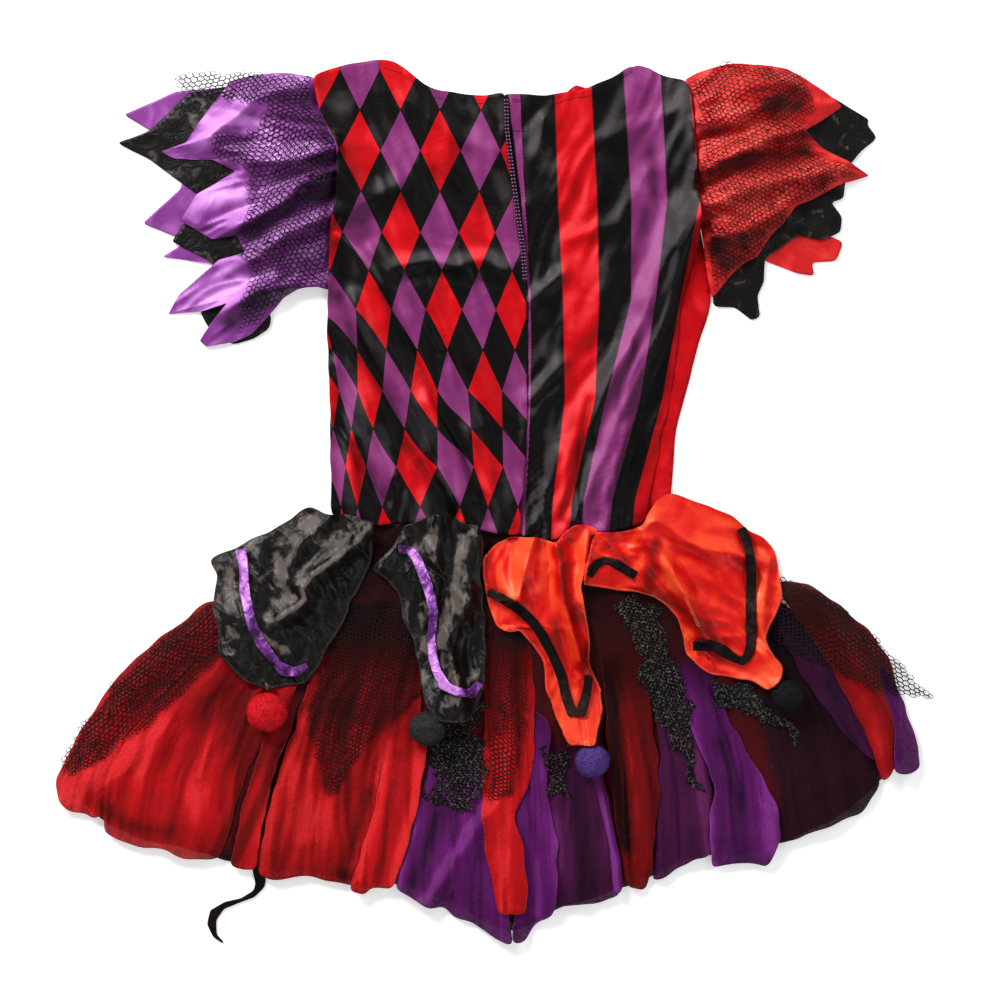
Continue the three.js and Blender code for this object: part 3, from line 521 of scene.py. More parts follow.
def plan_size(points: np.ndarray) -> tuple[float, float]:
    """Gives the longer and shorter side of the smallest even box round a piece's plan.

    Args:
        points: The points, in metres.

    Returns:
        The longer side, then the shorter.
    """
    plan = points[:, :2] - points[:, :2].mean(axis=0)
    _, _, axes = np.linalg.svd(plan, full_matrices=False)
    spread = plan @ axes.T
    length, width = spread.max(axis=0) - spread.min(axis=0)
    return float(length), float(width)


# Materials


class Board:
    """Places shader nodes in a material or group and joins them."""

    def __init__(self, tree: bpy.types.NodeTree) -> None:
        """Takes the tree that the nodes go in."""
        self.tree = tree

    def add(self, kind: str, inputs: dict | None = None, **settings: object) -> bpy.types.Node:
        """Adds a node. An input is a plain value, or the output that feeds it.

        Args:
            kind: The kind of node, without the word before it.
            inputs: Its inputs.
            settings: Its other settings.

        Returns:
            The node.
        """
        node = self.tree.nodes.new("ShaderNode" + kind)
        for name, value in settings.items():
            setattr(node, name, value)
        self.feed(node, inputs or {})
        return node

    def feed(self, node: bpy.types.Node, inputs: dict) -> None:
        """Gives a node's inputs their plain values, or joins the outputs that feed them.

        Args:
            node: The node.
            inputs: A value or an output for each input.
        """
        for key, value in inputs.items():
            if isinstance(value, bpy.types.NodeSocket):
                self.tree.links.new(value, node.inputs[key])
            else:
                node.inputs[key].default_value = value

    def stored(self, name: str) -> bpy.types.NodeSocket:
        """Reads the value that each point of a piece keeps under a name."""
        return self.add("Attribute", attribute_name=name).outputs["Fac"]

    def tone(self, pattern: bpy.types.NodeSocket, share: float) -> bpy.types.NodeSocket:
        """Gives the painted light and shade of a piece at each point: the stored painted shading, made uneven
        by a pattern of painted shade along its folds.
        """
        painted_fold_shade = self.math("MULTIPLY", self.math("SUBTRACT", pattern, 0.5), share)
        return self.math("ADD", self.stored("tone"), painted_fold_shade)

    def bump(self, strength: float, distance: float, height: Value, **below: Value) -> bpy.types.NodeSocket:
        """Turns a height into a normal, over the Normal below where one is given."""
        inputs = {"Strength": strength, "Distance": distance, "Height": height, **below}
        return self.add("Bump", inputs).outputs[0]

    def math(self, operation: str, first: Value, second: Value = 0.0, clamp: bool = False) -> Value:
        """Adds one sum and gives its output."""
        return self.add("Math", {0: first, 1: second}, operation=operation, use_clamp=clamp).outputs[0]

    def mix(self, share: Value, first: Value, second: Value) -> Value:
        """Mixes two colours and gives the result."""
        node = self.add("Mix", {0: share, 6: first, 7: second}, data_type="RGBA")
        return node.outputs[2]

    def spread(
        self, value: Value, low: float, high: float, to_low: float = 0.0, to_high: float = 1.0
    ) -> Value:
        """Maps a value from one range to another, held at its ends."""
        inputs = {0: value, 1: low, 2: high, 3: to_low, 4: to_high}
        return self.add("MapRange", inputs).outputs[0]

    def group(self, tree: bpy.types.NodeTree, inputs: dict) -> bpy.types.Node:
        """Places a shared group with its own values."""
        return self.add("Group", inputs, node_tree=tree)


def colour(code: str) -> tuple[float, float, float, float]:
    """Turns a colour code such as #ff8800 into linear light.

    Args:
        code: The code.

    Returns:
        Red, green, blue and a cover of one.
    """
    parts = [int(code[k : k + 2], 16) / 255 for k in (1, 3, 5)]
    linear = [part / 12.92 if part <= 0.04045 else ((part + 0.055) / 1.055) ** 2.4 for part in parts]
    return (*linear, 1.0)


def new_group(name: str, inputs: dict[str, str], outputs: dict[str, str]) -> tuple:
    """Starts a shared group of shader nodes.

    Args:
        name: The group's name.
        inputs: Names and kinds of its inputs.
        outputs: Names and kinds of its outputs.

    Returns:
        The group's tree, a board for it, and its input and output nodes.
    """
    tree = bpy.data.node_groups.new(name, "ShaderNodeTree")
    for direction, sockets in (("INPUT", inputs), ("OUTPUT", outputs)):
        for socket, kind in sockets.items():
            tree.interface.new_socket(socket, in_out=direction, socket_type="NodeSocket" + kind)
    source = tree.nodes.new("NodeGroupInput")
    target = tree.nodes.new("NodeGroupOutput")
    return tree, Board(tree), source, target


def woven_threads() -> bpy.types.NodeTree:
    """Makes the group for the threads of a woven cloth.

    Returns:
        The group's tree.
    """
    tree, board, source, target = new_group(
        "woven_threads", {"Vector": "Vector", "Threads": "Float"}, {"Height": "Float"}
    )
    waves = []
    for direction in ("X", "Y"):
        inputs = {"Vector": source.outputs["Vector"], "Scale": source.outputs["Threads"], "Distortion": 0.6}
        waves.append(board.add("TexWave", inputs, bands_direction=direction).outputs["Fac"])
    height = board.math("MAXIMUM", *waves)
    board.feed(target, {"Height": height})
    return tree


def crumpled_cloth() -> bpy.types.NodeTree:
    """Makes the group for the fine creases of cloth that was folded away, and the painted shade they give it.

    Returns:
        The group's tree.
    """
    tree, board, source, target = new_group(
        "crumpled_cloth",
        {"Vector": "Vector", "Size": "Float", "Depth": "Float"},
        {"Height": "Float", "Shade": "Float"},
    )
    scale = board.math("DIVIDE", 1.0, source.outputs["Size"])
    coarse = board.add(
        "TexNoise", {"Vector": source.outputs["Vector"], "Scale": scale, "Detail": 4.0, "Distortion": 0.8}
    )
    ridge = board.math("ABSOLUTE", board.math("SUBTRACT", coarse.outputs["Fac"], 0.5))
    folded = board.math("SUBTRACT", 1.0, board.math("MULTIPLY", ridge, 4.0, clamp=True))
    height = board.math("MULTIPLY", folded, source.outputs["Depth"])
    shade = board.spread(coarse.outputs["Fac"], 0.3, 0.7)
    board.feed(target, {"Height": height, "Shade": shade})
    return tree


def fine_mesh() -> bpy.types.NodeTree:
    """Makes the group for the holes of tulle and the painted streaks of light and shade along its gathers,
    which also stand for where they lie double.

    Returns:
        The group's tree.
    """
    tree, board, source, target = new_group(
        "fine_mesh",
        {"Vector": "Vector", "Chart": "Vector", "Hole": "Float", "Streaks": "Float"},
        {"Thread": "Float", "Streak": "Float"},
    )
    scale = board.math("DIVIDE", 1.0, source.outputs["Hole"])
    cells = board.add(
        "TexVoronoi", {"Vector": source.outputs["Vector"], "Scale": scale}, feature="DISTANCE_TO_EDGE"
    )
    thread = board.spread(cells.outputs["Distance"], 0.08, 0.22, 1.0, 0.0)
    stretched = board.add(
        "VectorMath", {0: source.outputs["Chart"], 1: (1.0, 0.14, 1.0)}, operation="MULTIPLY"
    )
    lines = board.add(
        "TexNoise",
        {
            "Vector": stretched.outputs[0], "Scale": source.outputs["Streaks"],
            "Detail": 5.0, "Roughness": 0.65,
        },
    )
    streak = board.spread(lines.outputs["Fac"], 0.34, 0.66)
    board.feed(target, {"Thread": thread, "Streak": streak})
    return tree


@dataclass
class SharedGroups:
    """The groups that more than one material uses."""

    threads: bpy.types.NodeTree = field(default_factory=woven_threads)
    crumple: bpy.types.NodeTree = field(default_factory=crumpled_cloth)
    mesh: bpy.types.NodeTree = field(default_factory=fine_mesh)


groups = SharedGroups()


def new_material(name: str) -> tuple[bpy.types.Material, Board, bpy.types.Node, bpy.types.Node]:
    """Starts a material and gives its board, its surface shader and its coordinates.

    Args:
        name: The name of the material.

    Returns:
        The material, its board, its shader and its places.
    """
    material = bpy.data.materials.new(name)
    material.use_nodes = True
    board = Board(material.node_tree)
    shader = material.node_tree.nodes["Principled BSDF"]
    place = board.add("TexCoord")
    return material, board, shader, place


class Print(Enum):
    """What is printed on the satin of the bodice."""

    LOZENGES = "lozenges"
    STRIPES = "stripes"
    FRONT = "front"


@dataclass(frozen=True)
class PrintedSatin:
    """Thin printed satin of the bodice. Its print is painted darker in shade and lighter in light, with a
    painted soft grey sheen over a faint real gloss.
    """

    name: str
    slot: str
    pattern: Print
    black: str = "#0c0808"
    red: str = "#cc0612"
    purple: str = "#84306e"
    # the colour of the painted sheen
    painted_sheen: str = "#c8bcc2"

    def printed_lozenges(self, board: Board, chart: bpy.types.NodeSocket) -> bpy.types.NodeSocket:
        """Gives the colour of lozenges that touch tip to tip on black.

        Args:
            board: The board of the material.
            chart: The place on the print at each point.

        Returns:
            The colour.
        """
        parts = board.add("SeparateXYZ", {0: chart})
        offsets, wholes = [], []
        for axis in (0, 1):
            whole = board.math("ROUND", parts.outputs[axis])
            offsets.append(board.math("ABSOLUTE", board.math("SUBTRACT", parts.outputs[axis], whole)))
            wholes.append(whole)
        reach = board.math("ADD", *offsets)
        inside = board.spread(reach, 0.487, 0.5, 1.0, 0.0)
        parity = board.math("FLOORED_MODULO", board.math("ADD", *wholes), 2.0)
        ink = board.mix(parity, colour(self.purple), colour(self.red))
        return board.mix(inside, colour(self.black), ink)

    def printed_stripes(self, board: Board, chart: bpy.types.NodeSocket) -> bpy.types.NodeSocket:
        """Gives the colour of the stripes, from the middle seam outwards.

        Args:
            board: The board of the material.
            chart: The place on the print at each point.

        Returns:
            The colour.
        """
        inks = (self.black, self.purple, self.black, self.red, self.black, self.purple, self.black, self.red)
        parts = board.add("SeparateXYZ", {0: chart})
        result = colour(inks[0])
        for number, ink in enumerate(inks[1:], start=1):
            share = board.spread(parts.outputs[0], number - 0.02, number + 0.02)
            result = board.mix(share, result, colour(ink))
        return result

    def printed_front(self, board: Board, chart: bpy.types.NodeSocket) -> bpy.types.NodeSocket:
        """Gives the colour of the front, black by the left of the neck and red beyond.

        Args:
            board: The board of the material.
            chart: The place on the print at each point.

        Returns:
            The colour.
        """
        parts = board.add("SeparateXYZ", {0: chart})
        share = board.spread(parts.outputs[0], 0.028, 0.032)
        return board.mix(share, colour(self.black), colour(self.red))

    def material(self) -> bpy.types.Material:
        """Builds the material.

        Returns:
            The material.
        """
        material, board, shader, place = new_material(self.name)
        chart = board.add("UVMap", uv_map="cloth").outputs[0]
        where = place.outputs["Object"]
        patterns = {
            Print.LOZENGES: self.printed_lozenges,
            Print.STRIPES: self.printed_stripes,
            Print.FRONT: self.printed_front,
        }
        ink = patterns[self.pattern](board, chart)
        creases = board.group(groups.crumple, {"Vector": where, "Size": 0.03, "Depth": 1.0})
        weave = board.group(groups.threads, {"Vector": where, "Threads": 420.0})
        # painted light and shade: the ink is painted darker or lighter after the stored painted shading, and
        # a painted grey sheen is mixed in where it is lightest
        tone = board.tone(creases.outputs["Shade"], 0.3)
        painted_brightness = board.spread(tone, 0.0, 1.0, 0.35, 1.35)
        lit = board.add("VectorMath", {0: ink, "Scale": painted_brightness}, operation="SCALE").outputs[0]
        shaded = board.mix(board.spread(tone, 0.55, 1.05, 0.0, 0.075), lit, colour(self.painted_sheen))
        coarse = board.bump(0.4, 1.5 * MM, creases.outputs["Shade"])
        fine = board.bump(0.12, 0.1 * MM, weave.outputs[0], Normal=coarse)
        rough = board.spread(creases.outputs["Shade"], 0.0, 1.0, 0.4, 0.5)
        board.feed(shader, {"Base Color": shaded, "Normal": fine, "Roughness": rough})
        board.feed(shader, {"Specular IOR Level": 0.12})
        return material


@dataclass(frozen=True)
class Satin:
    """Plain satin, shiny and easily creased. Besides its real gloss, its colour is painted darker in shade
    and lighter with a painted highlight.
    """

    name: str
    slot: str
    # its own colour, the colour of its painted highlight and the colour of its painted shade
    tint: str
    painted_highlight_colour: str
    painted_shade_colour: str
    gloss: float = 0.34
    crease: float = 0.016
    depth: float = 0.5
    weave: float = 480.0
    metal: float = 0.0
    # how strongly the fine creases paint shade and light into the colour
    painted_fold_shade: float = 0.35
    shine: float = 0.3
    lit_from: float = 0.5  # the painted shading at which the painted highlight starts to show

    def material(self) -> bpy.types.Material:
        """Builds the material.

        Returns:
            The material.
        """
        material, board, shader, place = new_material(self.name)
        where = place.outputs["Object"]
        creases = board.group(groups.crumple, {"Vector": where, "Size": self.crease, "Depth": 1.0})
        weave = board.group(groups.threads, {"Vector": where, "Threads": self.weave})
        # painted light and shade: from the painted shade colour through the satin's own colour to the painted
        # highlight colour, after the stored painted shading made uneven by the fine creases
        tone = board.tone(creases.outputs["Shade"], self.painted_fold_shade)
        base = board.mix(board.spread(tone, 0.0, 0.5), colour(self.painted_shade_colour), colour(self.tint))
        base = board.mix(board.spread(tone, self.lit_from, 1.0), base, colour(self.painted_highlight_colour))
        coarse = board.bump(self.depth, 1.5 * MM, creases.outputs["Height"])
        fine = board.bump(0.15, 0.1 * MM, weave.outputs[0], Normal=coarse)
        rough = board.spread(creases.outputs["Shade"], 0.0, 1.0, self.gloss + 0.08, self.gloss)
        board.feed(shader, {"Base Color": base, "Normal": fine, "Roughness": rough})
        board.feed(shader, {"Specular IOR Level": self.shine, "Metallic": self.metal})
        return material


@dataclass(frozen=True)
class Tulle:
    """Fine sheer mesh in gathers, with painted streaks of light and shade along them, which also stand for
    where they lie double.
    """

    name: str
    slot: str
    # its own colour; its painted shade, which is also the colour of its threads and grain; and its painted
    # highlight, which is also mixed in along the hem
    light: str
    dark: str
    pale: str
    cover: float = 0.95
    hem_cover: float = 0.8
    streaks: float = 26.0
    # painted shade: between these drops below the waist, in metres, the panel goes from painted nearly dark
    # at its top to its full colour
    shade_ends: tuple[float, float] = (0.06, 0.24)

    def material(self) -> bpy.types.Material:
        """Builds the material.

        Returns:
            The material.
        """
        material, board, shader, place = new_material(self.name)
        chart = board.add("UVMap", uv_map="cloth").outputs[0]
        where = place.outputs["Object"]
        inputs = {"Vector": where, "Chart": chart, "Hole": 1.5 * MM, "Streaks": self.streaks}
        mesh = board.group(groups.mesh, inputs)
        streak, thread = mesh.outputs["Streak"], mesh.outputs["Thread"]
        # painted light and shade: the stored painted shading with painted streaks along the gathers, darkened
        # towards the waist, takes the colour from the painted shade colour through the tulle's own colour to
        # its painted highlight
        tone = board.tone(streak, 0.35)
        drop = board.add("SeparateXYZ", {0: chart}).outputs[1]
        painted_light_share = board.math("MULTIPLY", tone, board.spread(drop, *self.shade_ends, 0.12, 1.0), clamp=True)
        base = board.mix(painted_light_share, colour(self.dark), colour(self.light))
        pale = board.math("MULTIPLY", board.math("SUBTRACT", painted_light_share, 0.75, clamp=True), 1.2, clamp=True)
        base = board.mix(pale, base, colour(self.pale))
        base = board.mix(board.spread(board.stored("hem"), 0.6, 1.0, 0.0, 0.5), base, colour(self.pale))
        speckle = board.add("TexNoise", {"Vector": where, "Scale": 700.0, "Detail": 1.0}).outputs["Fac"]
        base = board.mix(board.spread(speckle, 0.35, 0.65, 0.3, 0.0), base, colour(self.dark))
        base = board.mix(board.math("MULTIPLY", thread, 0.15), base, colour(self.dark))
        cover = board.spread(drop, 0.26, 0.4, self.cover, self.hem_cover)
        holes = board.math("MULTIPLY", board.math("SUBTRACT", 1.0, thread), 0.2)
        cover = board.math("SUBTRACT", cover, holes, clamp=True)
        cover = board.math("MULTIPLY", cover, board.stored("veil"))
        fine = board.bump(0.3, 0.2 * MM, thread, Normal=board.bump(0.5, 2 * MM, streak))
        board.feed(shader, {"Base Color": base, "Alpha": cover, "Normal": fine})
        board.feed(shader, {"Roughness": 0.7, "Specular IOR Level": 0.1})
        return material


@dataclass(frozen=True)
class Yarn:
    """Spun thread or felted yarn, matt with a soft nap."""

    name: str
    slot: str
    light: str
    dark: str
    grain: float = 900.0
    rare: float = 0.35  # the share of the grain that is darkest

    def material(self) -> bpy.types.Material:
        """Builds the material.

        Returns:
            The material.
        """
        material, board, shader, place = new_material(self.name)
        where = place.outputs["Object"]
        tufts = board.add(
            "TexNoise", {"Vector": where, "Scale": self.grain, "Detail": 4.0, "Roughness": 0.7}
        )
        share = board.spread(tufts.outputs["Fac"], self.rare, self.rare + 0.3)
        base = board.mix(share, colour(self.dark), colour(self.light))
        nap = board.bump(0.6, 0.5 * MM, tufts.outputs["Fac"])
        board.feed(shader, {"Base Color": base, "Normal": nap, "Roughness": 0.8, "Specular IOR Level": 0.15})
        return material


Finish = PrintedSatin | Satin | Tulle | Yarn
dressed: dict[str, bpy.types.Material] = {}


def material_for(finish: Finish) -> bpy.types.Material:
    """Gives a finish's material, built once.

    Args:
        finish: The finish.

    Returns:
        The material.
    """
    if finish.name not in dressed:
        dressed[finish.name] = finish.material()
    return dressed[finish.name]


LOZENGE_PRINT = PrintedSatin("lozenge_print", "printed_satin_diamonds", Print.LOZENGES)
STRIPE_PRINT = PrintedSatin("stripe_print", "printed_satin_stripes", Print.STRIPES)
FRONT_PRINT = PrintedSatin("front_print", "printed_satin_red", Print.FRONT)
# the three colours of each satin: its own, its painted highlight and its painted shade
VIOLET_SATIN = Satin(
    "violet_satin", "violet_satin", "#86388e", "#c884d4", "#3c1242", 0.45, 0.03, 0.25, metal=0.15
)
SLEEVE_RED_SATIN = Satin(
    "sleeve_red_satin", "sleeve_red_satin", "#d01416", "#ff5048", "#560405", 0.48, 0.03, 0.25, metal=0.15
)
BLACK_SATIN = Satin(
    "black_satin", "black_satin", "#0a0706", "#5c534e", "#020101", 0.38, 0.014, 0.4,
    painted_fold_shade=0.75, shine=0.22, lit_from=0.66,
)
RED_SATIN = Satin("red_satin", "red_satin", "#dc0a04", "#ff5628", "#8a0600", 0.42, 0.035, 0.2, metal=0.2)
PURPLE_RIBBON = Satin(
    "purple_ribbon", "purple_ribbon", "#763290", "#cc86da", "#34103c", 0.36, 0.008, 0.4, metal=0.2, painted_fold_shade=0.8
)
BLACK_RIBBON = Satin(
    "black_ribbon", "black_ribbon", "#0a0303", "#2a1612", "#030101", 0.45, 0.01, 0.3,
    painted_fold_shade=0.5, shine=0.12,
)
# the three colours of each tulle: its own, its painted shade, which is also its threads and grain, and its
# painted highlight
RED_TULLE = Tulle("red_tulle", "red_tulle", "#cc1016", "#3a0304", "#f03a40")
# a copy of the red tulle, painted lighter
RED_TULLE_PAINTED_LIT = Tulle("red_tulle_painted_lit", "red_tulle", "#e4121a", "#660608", "#fc4a4e")
# a copy of the red tulle, painted darker
RED_TULLE_PAINTED_SHADED = Tulle("red_tulle_painted_shaded", "red_tulle", "#90080c", "#1c0102", "#d0242c")
WINE_TULLE = Tulle("wine_tulle", "dark_tulle", "#6a0c14", "#140204", "#8a202c", 0.97, 0.85)
PURPLE_TULLE = Tulle("purple_tulle", "purple_tulle", "#7a1c7c", "#220626", "#a454ae")
# a copy of the purple tulle, painted darker and more sheer
PURPLE_TULLE_PAINTED_SHADED = Tulle("purple_tulle_painted_shaded", "purple_tulle", "#5c1450", "#1a0516", "#803870", 0.93, 0.75)
DARK_TULLE = Tulle("dark_tulle", "dark_tulle", "#2a0c1e", "#070204", "#442038", 0.97, 0.9)
MAROON_TULLE = Tulle("maroon_tulle", "dark_tulle", "#380c20", "#0a0204", "#582038", 0.96, 0.8)
BLACK_NET = Yarn("black_net", "black_net", "#161212", "#040303", 1500.0)
# black net with painted grey glints on its strands
BLACK_NET_PAINTED_GLINTS = Yarn("black_net_painted_glints", "black_net", "#7c786e", "#040404", 380.0, 0.5)
EDGE_THREAD = Yarn("edge_thread", "thread_edge", "#24121f", "#080406", 1500.0)
EDGE_STITCH = Yarn("edge_stitch", "thread_edge", "#c886c0", "#8a4a82", 1500.0)
BLACK_THREAD = Yarn("black_thread", "black_satin", "#5c5856", "#100e0e", 1500.0)
SEAM_THREAD = Yarn("seam_thread", "thread_edge", "#2c2a2c", "#0c0a0c", 1500.0)
RED_THREAD = Yarn("red_thread", "red_satin", "#ff8c68", "#d83418", 1500.0)


# Cloth


@dataclass(frozen=True)
class Sheet:
    """One cut piece of cloth, and how it is laid on the pile."""

    node: str
    finish: Finish
    rests_on: tuple[str, ...] = ()
    spacing: float = 4 * MM
    wall: float = 0.5 * MM
    rounding: int = 4
    evening: int = 3
    sway: float = 1.2
    creases: tuple[Crease, ...] = ()
    ripples: tuple[Ripples, ...] = ()
    # bands of painted light and shade
    painted_bands: tuple[Crease, ...] = ()
    painted_sheen: float = 1.2  # how much the cloth is painted lighter where it turns to the window, and darker where it turns away
    veil: float = 0.0
    chart: ChartMap = flat_place
    wrinkle_chart: ChartMap | None = None
    held: str = "laid"

    def shaped(self, pile: Pile) -> tuple[bmesh.types.BMesh, np.ndarray]:
        """Shapes the skin of the sheet on the pile.

        Args:
            pile: The cloth that is there already.

        Returns:
            The skin and its points.
        """
        skin = top_skin(self.node)
        refine(skin, self.spacing)
        round_outline(skin, self.rounding)
        even_heights(skin, self.evening)
        points = points_of(skin)
        for axis in (0, 1):
            seed = 3.0 + 7 * axis + len(self.node)
            drift = noise_at(points[:, 0] / OUTLINE_WAVE, points[:, 1] / OUTLINE_WAVE, seed)
            points[:, axis] += self.sway * MM * drift
        chart = (self.wrinkle_chart or self.chart)(points)
        lift = sum((crease.lift(points) for crease in self.creases), np.zeros(len(points)))
        lift = lift + sum((ripple.lift(chart) for ripple in self.ripples), np.zeros(len(points)))
        points[:, 2] = np.maximum(points[:, 2] + lift, self.wall)
        for _ in range(2):
            points[:, 2] = np.maximum(points[:, 2], pile.top(points) + AIR + self.wall)
            move_points(skin, points)
            even_heights(skin, 1)
            points = points_of(skin)
        points[:, 2] = np.maximum(points[:, 2], pile.top(points) + AIR + self.wall)
        move_points(skin, points)
        return skin, points

    def lay(self, pile: Pile) -> bpy.types.Object:
        """Args:
            pile: The cloth that is there already, which the sheet is added to.

        Returns:
            The finished piece.
        """
        skin, points = self.shaped(pile)
        skin.normal_update()
        area = sum(face.calc_area() for face in skin.faces)
        facing = np.array([vert.normal for vert in skin.verts]) @ TO_WINDOW
        hem = np.array([float(vert.is_boundary) for vert in skin.verts])
        piece = add_object(self.node + "_cloth", skin, material_for(self.finish))
        set_chart(piece.data, self.chart(points))
        # painted light and shade: lighter where the cloth turns to the window, darker where it turns away,
        # with the listed bands added
        tone = 0.5 + self.painted_sheen * facing + sum((band.lift(points) / MM for band in self.painted_bands))
        set_values(piece.data, "tone", tone)
        below_top = points[:, 1].max() - points[:, 1]
        set_values(piece.data, "veil", below_top / self.veil if self.veil else np.ones(len(points)))
        set_values(piece.data, "hem", hem)
        thicken(piece, self.wall)
        pile.cover(points)
        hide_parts(self.node)
        declare_sheet(piece, points, area)
        return piece


def declare_sheet(
    piece: bpy.types.Object,
    points: np.ndarray,
    area: float,
) -> None:
    """States the cut of a sheet in the log: its sides as laid out flat, found from its area.

    Args:
        piece: The sheet.
        points: The points of its upper surface.
        area: The area of that surface.
    """
    length, width = plan_size(points)
    slack = max(1.0, math.sqrt(area / (length * width)))
    flat = (max(width * slack, NARROWEST), length * slack)
    sizes = [round(side / MM) for side in flat]
    log.info("%s: cut %d x %d mm, %d faces", piece.name, *sizes, len(piece.data.polygons))


@dataclass(frozen=True)
class Net:
    """A piece of net with six-sided holes, cut out and laid on the pile."""

    node: str
    rests_on: tuple[str, ...]
    hole: float = 6.5 * MM
    strand: float = 0.9 * MM
    turn: float = 0.0
    squash: float = 1.0
    wall: float = 0.4 * MM
    yarn: Yarn = BLACK_NET
    ragged: float = 2 * MM  # how far the cut edge strays from the outline

    def field_of_holes(self, reach: float) -> bmesh.types.BMesh:
        """Repeats one six-sided hole over a square as wide as twice the reach.

        Args:
            reach: Half the width that the net has to fill.

        Returns:
            The field, round the middle.
        """
        field_mesh = bmesh.new()
        side = self.hole / math.sqrt(3)
        bmesh.ops.create_circle(field_mesh, cap_ends=True, segments=6, radius=side)
        steps = (
            (Vector((self.hole / 2, 1.5 * side, 0)), 1),
            (Vector((self.hole, 0, 0)), math.ceil(math.log2(2 * reach / self.hole))),
            (Vector((0, 3 * side, 0)), math.ceil(math.log2(2 * reach / (3 * side * self.squash)))),
        )
        for shift, doublings in steps:
            for _ in range(doublings):
                made = bmesh.ops.duplicate(field_mesh, geom=field_mesh.faces[:])
                copies = [part for part in made["geom"] if isinstance(part, bmesh.types.BMVert)]
                bmesh.ops.translate(field_mesh, verts=copies, vec=shift)
                shift = shift * 2
        bmesh.ops.remove_doubles(field_mesh, verts=field_mesh.verts[:], dist=side * 0.1)
        points = points_of(field_mesh)
        points -= (points.max(axis=0) + points.min(axis=0)) / 2
        move_points(field_mesh, points)
        return field_mesh

    def lay(self, pile: Pile) -> bpy.types.Object:
        """Args:
            pile: The cloth that is there already, which the net is added to.

        Returns:
            The finished piece.
        """
        skin = top_skin(self.node)
        low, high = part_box(self.node)
        tree = BVHTree.FromBMesh(skin)
        middle = (low + high) / 2
        net = self.field_of_holes((high - low).xy.length / 2)
        bmesh.ops.scale(net, vec=(1, self.squash, 1), verts=net.verts[:])
        bmesh.ops.rotate(net, matrix=Matrix.Rotation(math.radians(self.turn), 3, "Z"), verts=net.verts[:])
        bmesh.ops.translate(net, vec=(middle.x, middle.y, 0), verts=net.verts[:])
        points = points_of(net)
        for axis in (0, 1):
            for size, height in ((0.05, 5.0), (0.012, 1.1)):
                drift = noise_at(points[:, 0] / size, points[:, 1] / size, 5.0 * axis + len(self.node))
                points[:, axis] += height * MM * drift
        move_points(net, points)
        down = Vector((0, 0, -1))
        corners = points.copy()
        for axis in (0, 1):
            stray = noise_at(points[:, 0] / RAGGED_WAVE, points[:, 1] / RAGGED_WAVE, 31.0 + 7 * axis)
            corners[:, axis] += 2 * self.ragged * stray
        missed = [tree.ray_cast(Vector((place[0], place[1], 1)), down)[0] is None for place in corners]
        net.verts.index_update()
        outside = [face for face in net.faces if any(missed[vert.index] for vert in face.verts)]
        bmesh.ops.delete(net, geom=outside, context="FACES")
        cells = net.faces[:]
        bmesh.ops.inset_individual(net, faces=cells, thickness=self.strand / 2, use_even_offset=True)
        bmesh.ops.delete(net, geom=cells, context="FACES")
        drop_loose(net)
        points = points_of(net)
        heights = []
        for place in points:
            hit = tree.ray_cast(Vector((place[0], place[1], 1)), down)[0]
            heights.append(hit.z if hit else tree.find_nearest(Vector((place[0], place[1], high.z)))[0].z)
        points[:, 2] = np.maximum(np.array(heights) - 0.4 * MM, pile.top(points) + AIR + self.wall)
        move_points(net, points)
        net.normal_update()
        flipped = [face for face in net.faces if face.normal.z < 0]
        bmesh.ops.reverse_faces(net, faces=flipped)
        area = sum(face.calc_area() for face in net.faces) * (1 + 1.3 * self.wall / self.strand)
        piece = add_object(self.node + "_mesh", net, material_for(self.yarn))
        thicken(piece, self.wall)
        pile.cover(points)
        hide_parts(self.node)
        declare_sheet(piece, points, area)
        return piece


# Sewing


@dataclass(frozen=True)
class Stitches:
    """A row of stitches along a line: their sizes, their spacing and how far they turn from the line."""

    finish: Finish
    length: float = 3.2 * MM
    width: float = 0.8 * MM
    spacing: float = 2.0 * MM
    turn: float = 70.0
    lift: float = 0.15 * MM

    def sew(self, name: str, lines: list[list[Vector]]) -> bpy.types.Object:
        """Sews the stitches along lines that lie on the cloth.

        Args:
            name: The name of the piece.
            lines: The lines, each a list of points on the upper surface.

        Returns:
            The piece that holds all the stitches.
        """
        stitch = bmesh.new()
        bmesh.ops.create_icosphere(stitch, subdivisions=1, radius=0.5)
        bmesh.ops.scale(stitch, vec=(self.length, self.width, self.width), verts=stitch.verts[:])
        places = []
        for line in lines:
            for place, way in spaced(line, self.spacing):
                turn = math.atan2(way.y, way.x) + math.radians(self.turn)
                rise = math.asin(max(-0.9, min(0.9, way.z))) * math.cos(math.radians(self.turn))
                lean = Matrix.Rotation(-rise, 4, "Y")
                spot = Matrix.Translation(place + Vector((0, 0, self.lift)))
                places.append(spot @ Matrix.Rotation(turn, 4, "Z") @ lean)
        row = bmesh.new()
        repeat_shape(stitch, places, row)
        piece = add_object(name, row, material_for(self.finish))
        log.info("%s: %d faces", name, len(piece.data.polygons))
        return piece


def spaced(line: list[Vector], spacing: float) -> list[tuple[Vector, Vector]]:
    """Lists points at even steps along a line, each with the direction of the line there.

    Args:
        line: The points of the line.
        spacing: The step.

    Returns:
        Places and directions.
    """
    found = []
    left = spacing / 2
    for start, end in zip(line, line[1:]):
        run = end - start
        length = run.length
        if length < 1e-7:
            continue
        while left <= length:
            found.append((start + run * (left / length), run.normalized()))
            left += spacing
        left -= length
    return found


